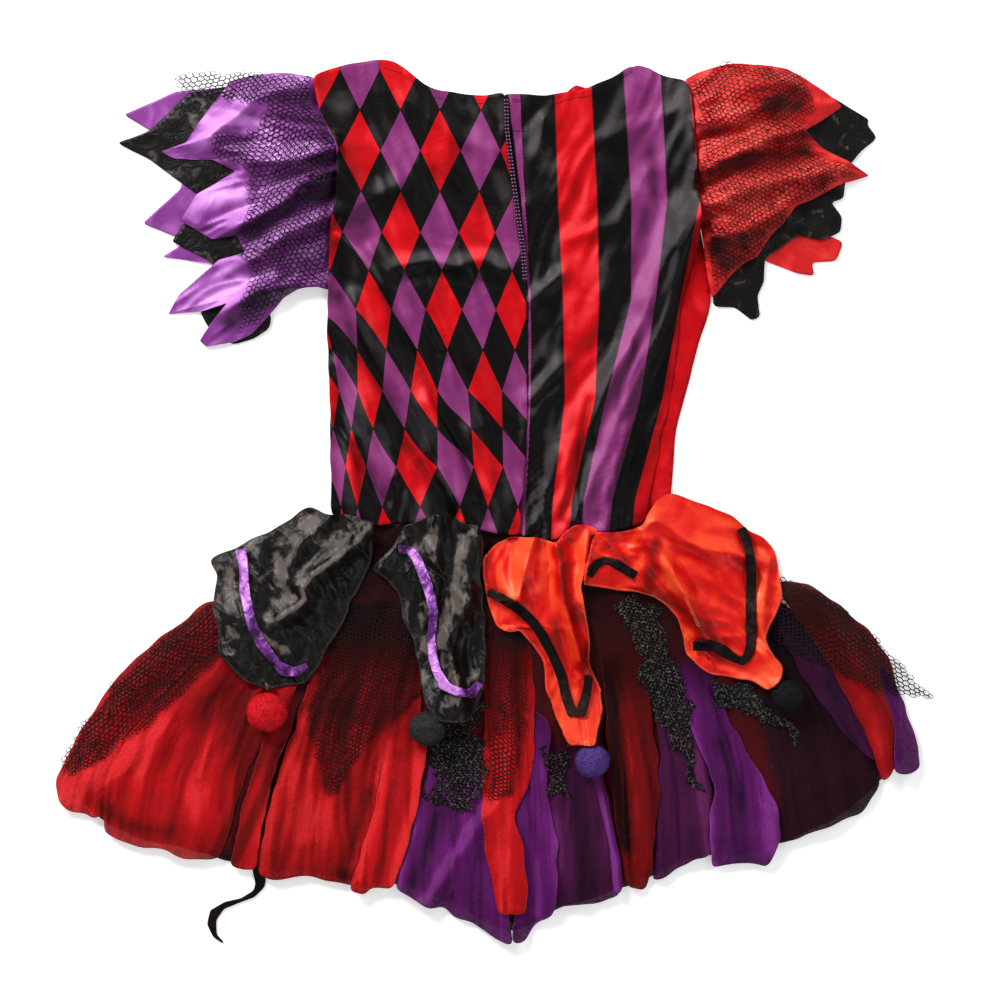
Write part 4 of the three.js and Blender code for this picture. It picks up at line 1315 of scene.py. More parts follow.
def line_on(piece: bpy.types.Object, line: Line) -> list[Vector]:
    """Drops a line given in plan, in millimetres, onto a piece of cloth.

    Args:
        piece: The cloth.
        line: The line.

    Returns:
        The points where the line lies on the cloth.
    """
    tree = BVHTree.FromPolygons(
        [vert.co for vert in piece.data.vertices], [face.vertices[:] for face in piece.data.polygons]
    )
    found = []
    for place, _ in spaced([Vector((x * MM, y * MM, 0)) for x, y in line], 2 * MM):
        hit = tree.ray_cast(Vector((place.x, place.y, 1)), Vector((0, 0, -1)))[0]
        if hit:
            found.append(hit)
    return found


def edge_line(piece: bpy.types.Object, inset: float, keep: Callable[[Vector], bool]) -> list[list[Vector]]:
    """Lists the free edge of a piece as lines that run a little inside it.

    Args:
        piece: The piece.
        inset: How far inside the edge they run.
        keep: Tells for a place whether its edge is free.

    Returns:
        The lines.
    """
    skin = bmesh.new()
    skin.from_mesh(piece.data)
    skin.verts.index_update()
    lines = []
    for loop in outline_loops(skin):
        if len(loop) < 20:
            continue
        moved = []
        for vert in loop:
            inward = Vector((0, 0, 0))
            for edge in vert.link_edges:
                if not edge.is_boundary:
                    inward += edge.other_vert(vert).co - vert.co
            moved.append(vert.co + inward.normalized() * inset)
        run: list[Vector] = []
        for vert, place in zip(loop, moved):
            if keep(vert.co):
                run.append(place)
            elif run:
                lines.append(run)
                run = []
        if run:
            lines.append(run)
    skin.free()
    return lines


# The costume


def skirt_gathers(seed: float, height: float = 4.0, count: float = 0.055) -> tuple[Ripples, ...]:
    """Gives the gathers of a skirt panel: broad folds, narrow folds and fine pleats.

    Args:
        seed: Where in the noise the gathers start, so that no two panels are alike.
        height: How high the broad folds stand, in millimetres.
        count: The width of a broad fold as a share of half the skirt.

    Returns:
        Three sets of ripples.
    """
    return (
        Ripples(height, count, 0.16, 0, seed, fade=(0.02, 0.25)),
        Ripples(height * 0.55, count * 0.42, 0.11, 0, seed + 20, True, fade=(0.0, 0.2)),
        Ripples(height * 0.2, count * 0.17, 0.06, 0, seed + 40, True),
    )


def crumples(seed: float, turn: float, size: float = 1.0) -> tuple[Ripples, ...]:
    """Gives the creases of satin that was folded away.

    Args:
        seed: Where in the noise they start.
        turn: The way that they run, in degrees from straight down.
        size: How broad they are. Broad ones have fewer small ones among them.

    Returns:
        Three sets of ripples.
    """
    return (
        Ripples(3.4 * size, 0.026 * size, 0.07 * size, turn, seed),
        Ripples(2.0 / size, 0.013 * size, 0.05 * size, turn + 14, seed + 5, True),
        Ripples(0.8 / size**2, 0.007 * size, 0.026 * size, turn - 12, seed + 11, True),
    )


def puff_gathers(seed: float) -> tuple[Ripples, ...]:
    """Gives the gathers that run out from an armhole.

    Args:
        seed: Where in the noise they start.

    Returns:
        Two sets of ripples.
    """
    return (
        Ripples(3.6, 0.022, 0.10, 0, seed),
        Ripples(1.6, 0.009, 0.06, 0, seed + 5, True),
    )


@dataclass
class Bodice:
    """The bodice: one front panel, and two back panels with a slit at the neck."""

    front: Sheet = Sheet(
        "bodice_front", FRONT_PRINT, spacing=12 * MM, rounding=2, sway=0.4,
        ripples=(Ripples(0.5, 0.03, 0.05, 20, 2.0),),
    )
    back_right: Sheet = Sheet(
        "bodice_back_right", STRIPE_PRINT, ("bodice_front_cloth",), rounding=6, sway=1.0,
        chart=StripeChart.place, wrinkle_chart=flat_place, evening=5,
        creases=folds(
            (((202, 297), (172, 250), (142, 180), (117, 130), (90, 70)), 7, 20),
            (((196, 285), (160, 222), (128, 160)), -3, 14),
            (((198, 284), (172, 191), (118, 80), (77, -16)), 6, 14),
            (((202, 262), (162, 132), (127, 32), (102, -18)), -5, 12),
            (((92, 102), (77, 22), (64, -18)), -5, 10),
            (((47, 382), (38, 347)), 4, 12),
            (((64, 229), (32, 201)), 6, 12),
            (((64, 140), (32, 105)), 6, 12),
            (((80, 62), (68, -30)), 5, 12),
            (((127, 72), (108, -26)), 5, 12),
            (((150, 330), (120, 280), (70, 262)), 3, 16),
            (((178, 392), (110, 362)), 3, 16),
            (((60, 50), (40, -20)), 4, 9),
        ),
        # painted light and shade along the folds
        painted_bands=shades(
            (((32, 372), (48, 340)), 0.5, 17),
            (((64, 229), (46, 216), (32, 201)), 0.55, 7),
            (((64, 140), (48, 124), (32, 105)), 0.55, 7),
            (((152, 350), (157, 308)), -0.4, 9),
            (((147, 312), (162, 282), (158, 240)), 0.3, 11),
            (((190, 407), (186, 380)), 0.4, 13),
            (((174, 272), (188, 283), (199, 285)), 0.5, 6),
            (((188, 280), (166, 191), (116, 84), (77, -10)), 0.3, 14),
            (((202, 262), (166, 132), (131, 32), (106, -18)), -0.55, 15),
            (((92, 102), (77, 22), (64, -18)), -0.55, 10),
            (((100, 402), (106, 300)), -0.3, 18),
            (((44, 300), (40, 250)), -0.3, 16),
        ),
        ripples=(
            Ripples(3.0, 0.035, 0.11, -28, 11.0),
            Ripples(1.0, 0.015, 0.06, -22, 13.0, True),
            Ripples(2.6, 0.013, 0.12, 0, 15.0, True, (0.07, -0.02), 0.0),
        ),
    )
    back_left: Sheet = Sheet(
        "bodice_back_left", LOZENGE_PRINT, ("bodice_front_cloth",), 4.6 * MM, rounding=6, sway=1.0,
        chart=HarlequinChart.place, wrinkle_chart=flat_place, evening=5,
        creases=folds(
            (((-143, 202), (-123, 157), (-98, 117), (-78, 77), (-43, 2)), 9, 14),
            (
                ((-155, 202), (-146, 172), (-126, 130), (-106, 100), (-93, 62), (-58, 12), (-46, -18)), -6, 12
            ),
            (((-163, 137), (-146, 102), (-120, 47), (-106, 22)), 7, 12),
            (((-163, 82), (-143, 52), (-113, 2)), -5, 10),
            (((-112, 210), (-98, 172), (-78, 132), (-58, 92), (-36, 52), (-18, 2), (-12, -18)), -6, 12),
            (((-73, 102), (-48, 62), (-20, 12)), 8, 12),
            (((-126, 252), (-104, 222), (-86, 190), (-60, 150)), 6, 13),
            (((-98, 234), (-70, 241), (-42, 234), (-16, 243), (6, 232)), 4, 15),
            (((-96, 224), (-60, 228), (-30, 222), (4, 220)), -3, 10),
            (((-161, 265), (-140, 248), (-126, 232), (-112, 210)), 5, 9),
            (((-153, 287), (-98, 317)), 4, 18),
            (((-150, 62), (-138, -15)), 5, 12),
            (((-30, 72), (7, -20)), 4, 12),
            (((-160, 330), (-118, 270), (-100, 235)), 3.5, 16),
            (((-90, 400), (-40, 360), (0, 350)), 3, 18),
        ),
        # painted light and shade along the folds
        painted_bands=shades(
            (
                ((-155, 202), (-146, 172), (-126, 130), (-106, 100), (-93, 62), (-58, 12), (-46, -18)),
                -0.5, 9,
            ),
            (
                ((-112, 210), (-98, 172), (-78, 132), (-58, 92), (-36, 52), (-18, 2), (-12, -18)),
                -0.5, 9,
            ),
            (((-163, 82), (-143, 52), (-113, 2)), -0.5, 9),
            (((-162, 180), (-160, 120), (-164, 60)), -0.4, 9),
            (((-135, 200), (-117, 157), (-92, 117), (-72, 77), (-38, 2)), 0.3, 9),
            (((-157, 140), (-140, 102), (-114, 47), (-100, 22)), 0.3, 8),
            (((-67, 102), (-42, 62), (-14, 12)), 0.25, 8),
            (((-161, 268), (-140, 251), (-126, 235), (-112, 213)), 0.5, 4),
            (((-98, 240), (-70, 246), (-42, 240), (-16, 249), (6, 238)), 0.35, 9),
            (((-96, 222), (-60, 226), (-30, 220), (4, 218)), -0.4, 9),
            (((-170, 400), (-150, 392)), 0.3, 18),
            (((-60, 330), (-20, 300)), -0.35, 26),
            (((-108, 330), (-92, 300)), -0.35, 16),
            (((-10, 350), (10, 300)), 0.25, 14),
        ),
        ripples=(
            Ripples(3.2, 0.035, 0.12, 24, 17.0),
            Ripples(1.2, 0.015, 0.07, 20, 19.0, True),
            Ripples(2.6, 0.013, 0.12, 0, 21.0, True, (0.07, -0.02), 0.0),
        ),
    )
    placket: Sheet = Sheet(
        "opening_edge", EDGE_THREAD, ("bodice_back_left_cloth",), spacing=2 * MM, rounding=2, sway=0.3,
    )

    def lay_front(self, pile: Pile) -> None:
        """Lays the front panel."""
        self.front.lay(pile)

    def lay_back(self, pile: Pile) -> None:
        """Lays the back panels with the edge of the slit and their stitching.

        Args:
            pile: The cloth that is there already, which the pieces are added to.
        """
        right = self.back_right.lay(pile)
        left = self.back_left.lay(pile)
        edge = self.placket.lay(pile)
        middle = ((8, 404), (9, 372), (14, 332), (20, 287), (25, 252), (27, 220))
        sides = [tuple((x + shift, y) for x, y in middle) for shift in (-1.4, 1.4)]
        overlock = Stitches(EDGE_STITCH, 1.9 * MM, 1.4 * MM, 3.6 * MM, 90.0, 0.4 * MM)
        overlock.sew("opening_overlocking", [line_on(edge, side) for side in sides])
        neck_left = (
            (-116, 434), (-96, 428), (-83, 417), (-69, 405), (-52, 402), (-35, 399), (-13, 398), (2, 399),
        )
        neck_right = (
            (14, 400), (40, 398), (57, 398), (74, 403), (93, 406), (108, 413), (121, 422), (134, 430),
        )
        hem = Stitches(SEAM_THREAD, 2.4 * MM, 0.8 * MM, 2.9 * MM, 0.0, 0.25 * MM)
        hem.sew("neck_stitching_left", [line_on(left, neck_left)])
        hem.sew("neck_stitching_right", [line_on(right, neck_right)])
        box = ((12, 402), (30, 401), (30, 370), (13, 371), (12, 400))
        hem.sew("closing_stitching", [line_on(right, box)])


@dataclass
class Sleeves:
    """The puffed sleeves. Each has a front, a back cut in one with its points, and bands between."""

    # painted light and shade on the left puff
    left_painted_bands: tuple[Crease, ...] = shades(
        (((-176, 402), (-170, 342), (-172, 300)), -0.35, 22),
        (((-174, 330), (-205, 318), (-240, 306)), -0.3, 12),
        (((-178, 300), (-210, 288), (-250, 262)), -0.35, 14),
        (((-200, 345), (-178, 352)), 0.6, 14),
        (((-236, 386), (-262, 378), (-290, 356)), 0.35, 20),
        (((-250, 300), (-290, 310)), 0.4, 22),
        (((-262, 222), (-310, 190)), 0.3, 20),
        (((-180, 258), (-232, 244)), 0.4, 26),
        (((-216, 342), (-196, 354), (-184, 352)), 0.6, 8),
        (((-212, 330), (-232, 318)), 0.4, 14),
        (((-240, 205), (-270, 180)), -0.35, 16),
    )
    # painted light and shade on the right puff
    right_painted_bands: tuple[Crease, ...] = shades(
        (((205, 388), (240, 392), (300, 398)), -0.3, 11),
        (((262, 400), (300, 386)), -0.25, 18),
        (((222, 388), (262, 384)), 0.5, 12),
        (((206, 350), (240, 352), (296, 358)), 0.35, 12),
        (((206, 330), (262, 345), (310, 352)), -0.25, 9),
        (((250, 305), (290, 300)), 0.35, 18),
        (((228, 362), (266, 370)), 0.45, 13),
        (((230, 300), (300, 322), (340, 330)), 0.35, 20),
        (((222, 296), (256, 282)), 0.35, 22),
        (((212, 272), (222, 240)), -0.4, 16),
    )
    left_chart: ChartMap = spread_from(-60, 345, 160)
    right_chart: ChartMap = spread_from(90, 330, 160)
    left_back: Sheet = Sheet(
        "left_sleeve_back", VIOLET_SATIN, ("left_front_points_black_cloth",), 3.2 * MM, rounding=1,
        sway=0.5, painted_sheen=0.5, wrinkle_chart=left_chart, ripples=puff_gathers(31.0),
        painted_bands=left_painted_bands,
        creases=folds(
            (((-163, 352), (-198, 340), (-250, 336)), 8, 16),
            (((-166, 338), (-205, 322), (-240, 310)), -5, 12),
            (((-164, 330), (-198, 314), (-213, 297), (-258, 276)), 8, 15),
            (((-164, 305), (-205, 290), (-240, 262)), -5, 12),
            (((-163, 287), (-208, 268), (-248, 240)), 8, 17),
            (((-186, 418), (-236, 404), (-288, 362)), 6, 18),
            (((-180, 217), (-236, 212), (-273, 190)), 6, 14),
        ),
    )
    right_back: Sheet = Sheet(
        "right_sleeve_back", SLEEVE_RED_SATIN, ("right_front_points_black_cloth",), 3.2 * MM, rounding=1,
        sway=0.5, painted_sheen=0.5, wrinkle_chart=right_chart, ripples=puff_gathers(37.0),
        painted_bands=right_painted_bands,
        creases=folds(
            (((202, 399), (242, 412), (292, 418)), 6, 14),
            (((202, 376), (232, 384), (268, 394)), 7, 14),
            (((204, 362), (240, 366), (276, 380)), -4, 12),
            (((207, 330), (262, 358), (305, 371)), 8, 16),
            (((206, 312), (250, 332), (300, 345)), -5, 12),
            (((204, 294), (247, 312), (347, 334)), 7, 16),
            (((214, 262), (247, 270), (292, 297)), 7, 16),
        ),
    )

    def lay_fronts(self, pile: Pile) -> None:
        """Lays the parts that lie under the backs.

        Args:
            pile: The cloth that is there already, which the pieces are added to.
        """
        crumpled = (Ripples(1.2, 0.02, 0.04, 30, 4.0),)
        rows = (
            ("left_sleeve_front", VIOLET_SATIN, "bodice_front_cloth"),
            ("right_sleeve_front", SLEEVE_RED_SATIN, "bodice_front_cloth"),
            ("left_front_points_violet", VIOLET_SATIN, "left_sleeve_front_cloth"),
            ("left_front_points_black", BLACK_SATIN, "left_front_points_violet_cloth"),
            ("right_front_points_red", SLEEVE_RED_SATIN, "right_sleeve_front_cloth"),
            ("right_front_points_black", BLACK_SATIN, "right_front_points_red_cloth"),
        )
        for node, finish, below in rows:
            # the black points get weaker painted light and shade
            painted_sheen = 0.4 if finish is BLACK_SATIN else 1.0
            Sheet(
                node, finish, (below,), 5.5 * MM, rounding=1, sway=0.5, ripples=crumpled, painted_sheen=painted_sheen
            ).lay(pile)

    def lay_backs(self, pile: Pile) -> None:
        """Lays the backs with their points, and the net over each.

        Args:
            pile: The cloth that is there already, which the pieces are added to.
        """
        self.left_back.lay(pile)
        self.right_back.lay(pile)
        Net("left_sleeve_net", ("left_sleeve_back_cloth",), 5.6 * MM, 0.9 * MM, 15, 0.85).lay(pile)
        Net("right_sleeve_net", ("right_sleeve_back_cloth",), 5.4 * MM, 0.7 * MM, -20, 0.8).lay(pile)


@dataclass
class Skirt:
    """The skirt: a front, a dark underskirt, gathered tulle panels and nets over them."""

    # painted light and shade: lighter where the tulle lies open to the light, darker between its folds
    painted_bands: tuple[Crease, ...] = shades(
        (((-293, -188), (-340, -226), (-423, -294)), 0.6, 30),
        (((-413, -283), (-378, -270), (-348, -243), (-338, -218)), 0.5, 4),
        (((-398, -268), (-363, -213), (-333, -188)), 0.5, 4),
        (((-330, -330), (-372, -322), (-398, -300)), -0.5, 14),
        (((-278, -198), (-290, -243), (-298, -273)), 0.6, 4),
        (((-303, -292), (-296, -330)), 0.3, 24),
        (((-300, -196), (-256, -206), (-240, -250)), -0.75, 38),
        (((-292, -284), (-286, -310)), 0.2, 30),
        (((-352, -262), (-344, -310)), 0.35, 26),
        (((-200, -270), (-196, -330)), 0.4, 18),
        (((-170, -300), (-158, -350)), 0.35, 22),
        (((-340, -300), (-290, -350)), -0.25, 24),
        (((-243, -242), (-258, -300), (-277, -352)), -0.9, 12),
        (((-200, -202), (-225, -273), (-268, -365)), -1.0, 9),
        (((-198, -218), (-223, -288), (-236, -368)), 0.5, 12),
        (((-186, -250), (-188, -300), (-200, -350)), 0.35, 26),
        (((-158, -200), (-168, -300)), -0.2, 22),
        (((-128, -290), (-153, -372)), -0.6, 12),
        (((-112, -242), (-126, -310), (-138, -372)), 0.6, 14),
        (((-98, -250), (-108, -310), (-120, -380)), -0.4, 7),
        (((-72, -254), (-86, -320), (-100, -380)), 0.7, 15),
        (((-8, -298), (-43, -350), (-74, -400)), 0.8, 10),
        (((-60, -310), (-84, -380)), -0.5, 16),
        (((10, -230), (4, -330), (12, -410)), 0.4, 16),
        (((44, -260), (34, -340), (40, -410)), 0.4, 10),
        (((80, -290), (90, -390)), -0.3, 20),
        (((97, -268), (110, -320), (120, -388)), 0.7, 9),
        (((60, -320), (66, -376)), 0.4, 18),
        (((128, -210), (136, -300), (140, -380)), 0.25, 18),
        (((112, -150), (112, -250), (126, -340)), -0.7, 18),
        (((187, -167), (200, -250), (214, -365)), 0.6, 12),
        (((242, -198), (272, -280), (272, -348)), 0.7, 16),
        (((222, -240), (240, -300), (242, -360)), -0.4, 12),
        (((352, -150), (376, -220), (386, -272)), 0.5, 14),
        (((330, -180), (356, -240)), -0.5, 12),
    )

    def lay_front(self, pile: Pile) -> None:
        """Lays the front layer with the tie that hangs out from under it."""
        self.panel("skirt_front", DARK_TULLE, "bodice_front_cloth", 1.0, 0.0, spacing=12 * MM).lay(pile)
        Sheet("hem_tie", BLACK_RIBBON, ("skirt_front_cloth",), 2 * MM, rounding=3, sway=0.3).lay(pile)

    def panel(
        self, node: str, finish: Tulle, below: str, seed: float, height: float, spacing: float
    ) -> Sheet:
        """Describes one gathered panel.

        Args:
            node: The panel's node.
            finish: Its tulle.
            below: What it rests on.
            seed: Where in the noise its gathers start.
            height: How high they stand, in millimetres.
            spacing: The longest edge in its mesh.

        Returns:
            The panel.
        """
        gathers = skirt_gathers(seed, height) if height else ()
        return Sheet(
            node, finish, (below,), spacing, 0.3 * MM, 5, 2, 1.6,
            ripples=gathers, painted_bands=() if finish is WINE_TULLE else self.painted_bands,
            painted_sheen=0.4, chart=SkirtChart.place, held="gathered",
            veil=0.0 if "skirt" in node or "far" in node else 45 * MM,
        )

    def lay_panels(self, pile: Pile) -> None:
        """Lays the back of the skirt from the bottom up.

        Args:
            pile: The cloth that is there already, which the pieces are added to.
        """
        rows = (
            ("underskirt_back", WINE_TULLE, 3.5),
            ("tulle_sheer_far_right", MAROON_TULLE, 3.5),
            ("tulle_sheer_right", PURPLE_TULLE_PAINTED_SHADED, 3.0),
            ("tulle_sheer_middle", PURPLE_TULLE_PAINTED_SHADED, 3.0),
            ("tulle_purple_left", PURPLE_TULLE, 4.0),
            ("tulle_purple_middle", PURPLE_TULLE, 3.5),
            ("tulle_red_far_left", RED_TULLE_PAINTED_LIT, 4.5),
            ("tulle_red_left", RED_TULLE, 4.5),
            ("tulle_red_narrow", RED_TULLE_PAINTED_LIT, 3.0),
            ("tulle_purple_right", PURPLE_TULLE_PAINTED_SHADED, 4.0),
            ("tulle_red_far_right", RED_TULLE, 3.5),
            ("tulle_purple_far_right", PURPLE_TULLE, 3.0),
            ("tulle_red_right", RED_TULLE_PAINTED_SHADED, 4.0),
            ("tulle_purple_narrow", PURPLE_TULLE, 2.0),
            ("tulle_red_bright", RED_TULLE_PAINTED_LIT, 4.0),
            ("tulle_red_middle", RED_TULLE_PAINTED_LIT, 3.5),
            ("tulle_purple_fold", PURPLE_TULLE, 4.0),
        )
        below = "skirt_front_cloth"
        for number, (node, finish, height) in enumerate(rows):
            spacing = 8 * MM if finish is WINE_TULLE else 4.8 * MM
            self.panel(node, finish, below, 50.0 + 3 * number, height, spacing).lay(pile)
            below = "underskirt_back_cloth"

    def lay_nets(self, pile: Pile) -> None:
        """Lays the black nets over the tulle.

        Args:
            pile: The cloth that is there already, which the pieces are added to.
        """
        rows = (
            ("net_far_left", "tulle_red_far_left_cloth", 38, 0.72, 5.4, 1.0, BLACK_NET),
            ("net_left", "tulle_red_left_cloth", 28, 0.66, 5.2, 0.8, BLACK_NET),
            ("net_middle_left", "underskirt_back_cloth", 0, 0.7, 4.4, 1.5, BLACK_NET_PAINTED_GLINTS),
            ("net_middle", "tulle_red_middle_cloth", -40, 0.7, 5.2, 0.9, BLACK_NET),
            ("net_small", "tulle_purple_middle_cloth", 0, 0.7, 4.4, 1.5, BLACK_NET_PAINTED_GLINTS),
            ("net_right", "tulle_red_right_cloth", -60, 0.65, 4.4, 1.6, BLACK_NET_PAINTED_GLINTS),
            ("net_rolled", "tulle_purple_fold_cloth", -30, 0.6, 4.4, 1.6, BLACK_NET_PAINTED_GLINTS),
            ("net_far_right", "tulle_purple_right_cloth", -38, 0.6, 6.0, 1.1, BLACK_NET),
        )
        for node, below, turn, squash, hole, strand, yarn in rows:
            ragged = 5 * MM if yarn is BLACK_NET_PAINTED_GLINTS else 1.5 * MM
            Net(node, (below,), hole * MM, strand * MM, turn, squash, yarn=yarn, ragged=ragged).lay(pile)


@dataclass(frozen=True)
class Pompom:
    """A ball of felted yarn, drawn out into fine ends."""

    node: str
    finish: Yarn
    ends: int = 900

    def make(self, seed: int) -> bpy.types.Object:
        """Makes the ball and its ends in the place of its node.

        Args:
            seed: What makes this ball unlike the others.

        Returns:
            The piece.
        """
        chance = random.Random(seed)
        low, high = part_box(self.node)
        middle = (low + high) / 2
        half = (high - low) / 2
        ball = bmesh.new()
        bmesh.ops.create_icosphere(ball, subdivisions=5, radius=1.0)
        for vert in ball.verts:
            bumpy = 0.07 * noise.noise(vert.co * 2.2 + Vector((seed, 0, 0)))
            bumpy += 0.05 * noise.noise(vert.co * 7 + Vector((0, seed, 0)))
            bumpy += 0.025 * noise.noise(vert.co * 21)
            vert.co *= 0.95 + bumpy
        end = bmesh.new()
        bmesh.ops.create_cone(end, segments=3, radius1=0.012, radius2=0.003, depth=0.16)
        bmesh.ops.translate(end, vec=(0, 0, 0.06), verts=end.verts[:])
        places = []
        for _ in range(self.ends):
            way = Vector([chance.gauss(0, 1) for _ in range(3)]).normalized()
            lean = Vector([chance.gauss(0, 0.45) for _ in range(3)])
            turn = (way + lean).to_track_quat("Z", "Y").to_matrix().to_4x4()
            size = chance.uniform(0.6, 1.3)
            places.append(Matrix.Translation(way * 0.93) @ turn @ Matrix.Diagonal((1, 1, size, 1)))
        repeat_shape(end, places, ball)
        bmesh.ops.scale(ball, vec=half, verts=ball.verts[:])
        bmesh.ops.translate(ball, vec=middle, verts=ball.verts[:])
        piece = add_object(self.node + "_yarn", ball, material_for(self.finish))
        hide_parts(self.node)
        log.info("%s: %d faces", piece.name, len(piece.data.polygons))
        return piece


@dataclass
class Petals:
    """Four satin petals over the skirt, with ribbons, overlocked edges and pompoms."""

    sheets: tuple[Sheet, ...] = (
        Sheet(
            "petal_black_outer", BLACK_SATIN, ("tulle_red_far_left_cloth",), 2.8 * MM, rounding=5,
            sway=1.8, painted_sheen=0.55,
            ripples=crumples(61.0, 30),
            creases=folds(
                (((-128, -26), (-140, -40), (-160, -56), (-184, -74), (-195, -86), (-190, -98),
                  (-218, -116)), 7, 16, 1.2),
                (((-168, -16), (-198, -43), (-212, -83)), 6, 14),
                (((-236, -43), (-243, -98), (-263, -158)), 4, 14),
            ),
            # painted light and shade along the folds
            painted_bands=shades(
                (((-128, -26), (-140, -40), (-160, -56), (-184, -74), (-195, -86), (-190, -98),
                  (-218, -116)), 0.9, 4),
                (((-221, -56), (-207, -95)), 0.5, 8),
                (((-191, -21), (-176, -32), (-190, -56)), 0.5, 10),
                (((-269, -71), (-265, -106)), 0.5, 8),
                (((-238, -134), (-207, -149)), 0.5, 7),
                (((-150, -70), (-185, -120), (-200, -160)), -0.5, 20),
                (((-250, -60), (-240, -110)), -0.4, 8),
            ),
        ),
        Sheet(
            "petal_black_inner", BLACK_SATIN, ("tulle_red_left_cloth",), 2.8 * MM, rounding=5,
            sway=1.8, painted_sheen=0.55,
            ripples=crumples(67.0, -10),
            creases=folds(
                (((-58, -18), (-62, -58), (-66, -118)), 6, 12),
                (((-20, -28), (-28, -98), (-50, -138), (-36, -198)), 7, 12),
                (((-94, -38), (-118, -62)), 4, 10),
            ),
            # painted light and shade along the folds
            painted_bands=shades(
                (((-36, -36), (-42, -80), (-59, -141)), 0.55, 9),
                (((-78, -112), (-72, -150)), 0.5, 6),
                (((-67, -36), (-84, -52)), 0.4, 9),
                (((-40, -173), (-46, -196)), 0.5, 5),
                (((-100, -50), (-80, -90)), -0.5, 12),
                (((-24, -60), (-26, -120)), -0.5, 9),
            ),
        ),
        Sheet(
            "petal_red_inner", RED_SATIN, ("tulle_red_middle_cloth",), 2.8 * MM, rounding=5, sway=1.6,
            painted_sheen=0.8,
            ripples=crumples(71.0, 10, 1.4),
            creases=folds(
                (((37, -34), (30, -58), (20, -98)), 7, 16),
                (((59, -43), (66, -98), (82, -158)), 8, 12),
                (((92, -28), (86, -58), (86, -98)), 6, 11),
            ),
            # painted light and shade along the folds
            painted_bands=shades(
                (((58, -44), (62, -88), (82, -118)), -0.6, 8),
                (((42, -53), (38, -88)), 0.4, 12),
                (((78, -68), (85, -106)), 0.5, 6),
                (((100, -60), (96, -120), (88, -190)), -0.6, 8),
                (((10, -118), (30, -116), (50, -134)), -0.4, 7),
                (((56, -118), (66, -168)), -0.5, 10),
            ),
        ),
        Sheet(
            "petal_red_outer", RED_SATIN, ("tulle_purple_right_cloth",), 3.4 * MM, rounding=5, sway=1.6,
            painted_sheen=0.8,
            ripples=crumples(73.0, 50, 1.4),
            creases=folds(
                (((157, -18), (202, -46), (262, -58)), 6, 15),
                (((142, -28), (174, -70), (207, -138)), 8, 15),
                (((102, -33), (124, -58), (147, -88)), 5, 12),
                (((272, -58), (262, -108), (267, -148)), 5, 12),
            ),
            # painted light and shade along the folds
            painted_bands=shades(
                (((155, -44), (151, -83), (182, -106), (225, -153)), -0.6, 10),
                (((209, -36), (237, -75)), 0.15, 15),
                (((150, -60), (120, -70)), 0.3, 10),
                (((166, -36), (168, -76), (196, -98)), 0.35, 8),
                (((110, -44), (130, -62)), -0.5, 9),
                (((262, -90), (268, -150)), 0.35, 9),
                (((120, -84), (170, -112)), 0.4, 6),
            ),
        ),
    )
    # name, finish and what each is sewn on
    ribbons: tuple[tuple[str, Satin, str], ...] = (
        ("ribbon_black_outer", PURPLE_RIBBON, "petal_black_outer_cloth"),
        ("ribbon_black_inner", PURPLE_RIBBON, "petal_black_inner_cloth"),
        ("ribbon_red_inner", BLACK_RIBBON, "petal_red_inner_cloth"),
        ("ribbon_valley", BLACK_RIBBON, "petal_red_outer_cloth"),
        ("ribbon_red_outer", BLACK_RIBBON, "petal_red_outer_cloth"),
    )
    pompoms: tuple[Pompom, ...] = (
        Pompom("pompom_red", Yarn("pompom_red", "pompom_red", "#e81624", "#8a0410", 700.0)),
        Pompom("pompom_grey", Yarn("pompom_grey", "pompom_grey", "#3c383a", "#0c0a0c", 700.0)),
        Pompom("pompom_purple", Yarn("pompom_purple", "pompom_purple", "#624494", "#241644", 700.0)),
        Pompom("pompom_black", Yarn("pompom_black", "pompom_black", "#181518", "#040304", 700.0)),
    )

    def lay(self, pile: Pile) -> None:
        """Lays the pompoms, then the petals over them, then the ribbons.

        Args:
            pile: The cloth that is there already, which the pieces are added to.
        """
        for number, pompom in enumerate(self.pompoms):
            piece = pompom.make(number + 1)
            pile.cover(np.array([vert.co for vert in piece.data.vertices]))
        for petal in self.sheets:
            self.lay_petal(petal, pile)
        for node, finish, below in self.ribbons:
            Sheet(node, finish, (below,), 2.5 * MM, 0.3 * MM, 1, 2, 0.5).lay(pile)

    def lay_petal(self, petal: Sheet, pile: Pile) -> None:
        """Lays one petal and sews round its free edge.

        Args:
            petal: The petal.
            pile: The cloth that is there already, which the pieces are added to.
        """
        piece = petal.lay(pile)
        free_edge = edge_line(piece, 1.4 * MM, lambda place: place.y < PETAL_SEAM)
        thread = BLACK_THREAD if petal.finish is BLACK_SATIN else RED_THREAD
        Stitches(thread).sew(petal.node + "_overlocking", free_edge)


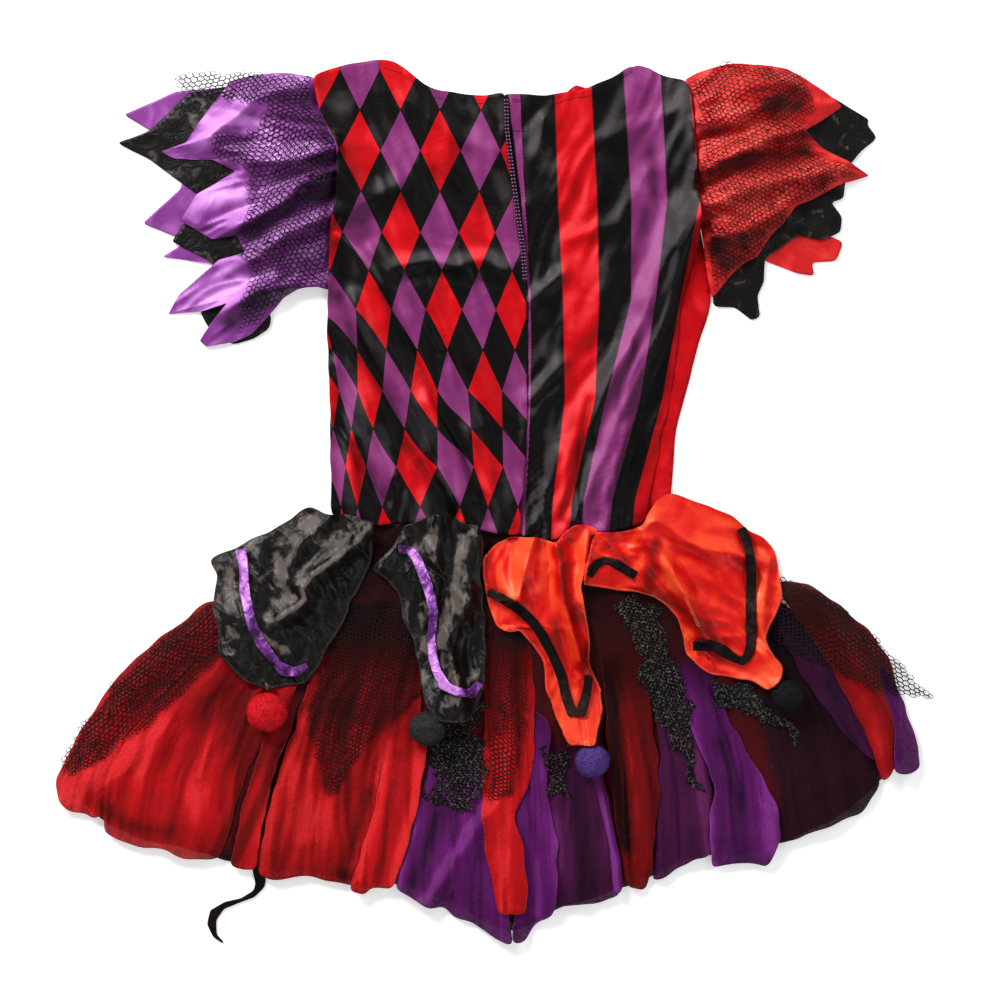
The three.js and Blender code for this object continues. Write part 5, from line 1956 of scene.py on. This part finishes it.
@dataclass(frozen=True)
class Studio:
    """The floor, the lights and the camera."""

    floor_colour: str = "#f6f6f6"
    floor_glow: float = 0.35  # the table is lit from below, so that it shows no hard shadows
    daylight: float = 0.12
    # name, place, size in metres, power in watts
    lamps: tuple[tuple[str, tuple[float, float, float], float, float], ...] = (
        ("window", (-1.4, 1.8, 1.6), 1.0, 88.0),
        ("screen_low_right", (1.8, -1.5, 1.8), 2.0, 30.0),
        ("screen_low_left", (-1.8, -1.6, 1.8), 2.0, 18.0),
        ("screen_high_right", (1.8, 1.6, 1.8), 2.0, 22.0),
    )

    def build(self) -> None:
        """Sets up the studio."""
        self.add_camera()
        self.add_floor()
        for name, place, size, power in self.lamps:
            lamp = bpy.data.lights.new(name, "AREA")
            lamp.size = size
            lamp.energy = power
            light = bpy.data.objects.new(name, lamp)
            light.location = place
            light.rotation_euler = (-Vector(place)).to_track_quat("-Z", "Y").to_euler()
            bpy.context.scene.collection.objects.link(light)
        world = bpy.data.worlds.new("daylight")
        world.use_nodes = True
        world.node_tree.nodes["Background"].inputs["Color"].default_value = (1, 1, 1, 1)
        world.node_tree.nodes["Background"].inputs["Strength"].default_value = self.daylight
        bpy.context.scene.world = world
        bpy.context.scene.view_settings.view_transform = "Standard"

    def add_camera(self) -> None:
        """Looks straight down from high up, so that a millimetre is a pixel of the photograph."""
        camera = bpy.data.cameras.new("camera")
        camera.sensor_width = 36
        camera.lens = 36 * CAMERA_HEIGHT / PHOTO_WIDTH
        stand = bpy.data.objects.new("camera", camera)
        stand.location = (2 * MM, 2 * MM, CAMERA_HEIGHT)
        bpy.context.scene.collection.objects.link(stand)
        bpy.context.scene.camera = stand

    def add_floor(self) -> None:
        """Lays a plain pale floor."""
        sheet = bmesh.new()
        bmesh.ops.create_grid(sheet, x_segments=1, y_segments=1, size=4)
        bmesh.ops.translate(sheet, vec=(0, 0, -0.5 * MM), verts=sheet.verts[:])
        data = bpy.data.meshes.new("floor")
        sheet.to_mesh(data)
        sheet.free()
        material, board, shader, place = new_material("floor")
        grain = board.add("TexNoise", {"Vector": place.outputs["Object"], "Scale": 30.0, "Detail": 2.0})
        pale = colour(self.floor_colour)
        base = board.mix(board.spread(grain.outputs["Fac"], 0.3, 0.7, 0.0, 0.02), pale, colour("#e8e8e8"))
        board.feed(shader, {"Base Color": base, "Roughness": 0.9})
        board.feed(shader, {"Emission Color": pale, "Emission Strength": self.floor_glow})
        data.materials.append(material)
        floor = bpy.data.objects.new("floor", data)
        bpy.context.scene.collection.objects.link(floor)


def main() -> None:
    """Builds the costume on its frame, from the floor up."""
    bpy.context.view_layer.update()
    Studio().build()
    pile = Pile()
    bodice, sleeves, skirt = Bodice(), Sleeves(), Skirt()
    bodice.lay_front(pile)
    sleeves.lay_fronts(pile)
    sleeves.lay_backs(pile)
    skirt.lay_front(pile)
    skirt.lay_panels(pile)
    skirt.lay_nets(pile)
    bodice.lay_back(pile)
    Petals().lay(pile)


if __name__ == "__main__":
    main()
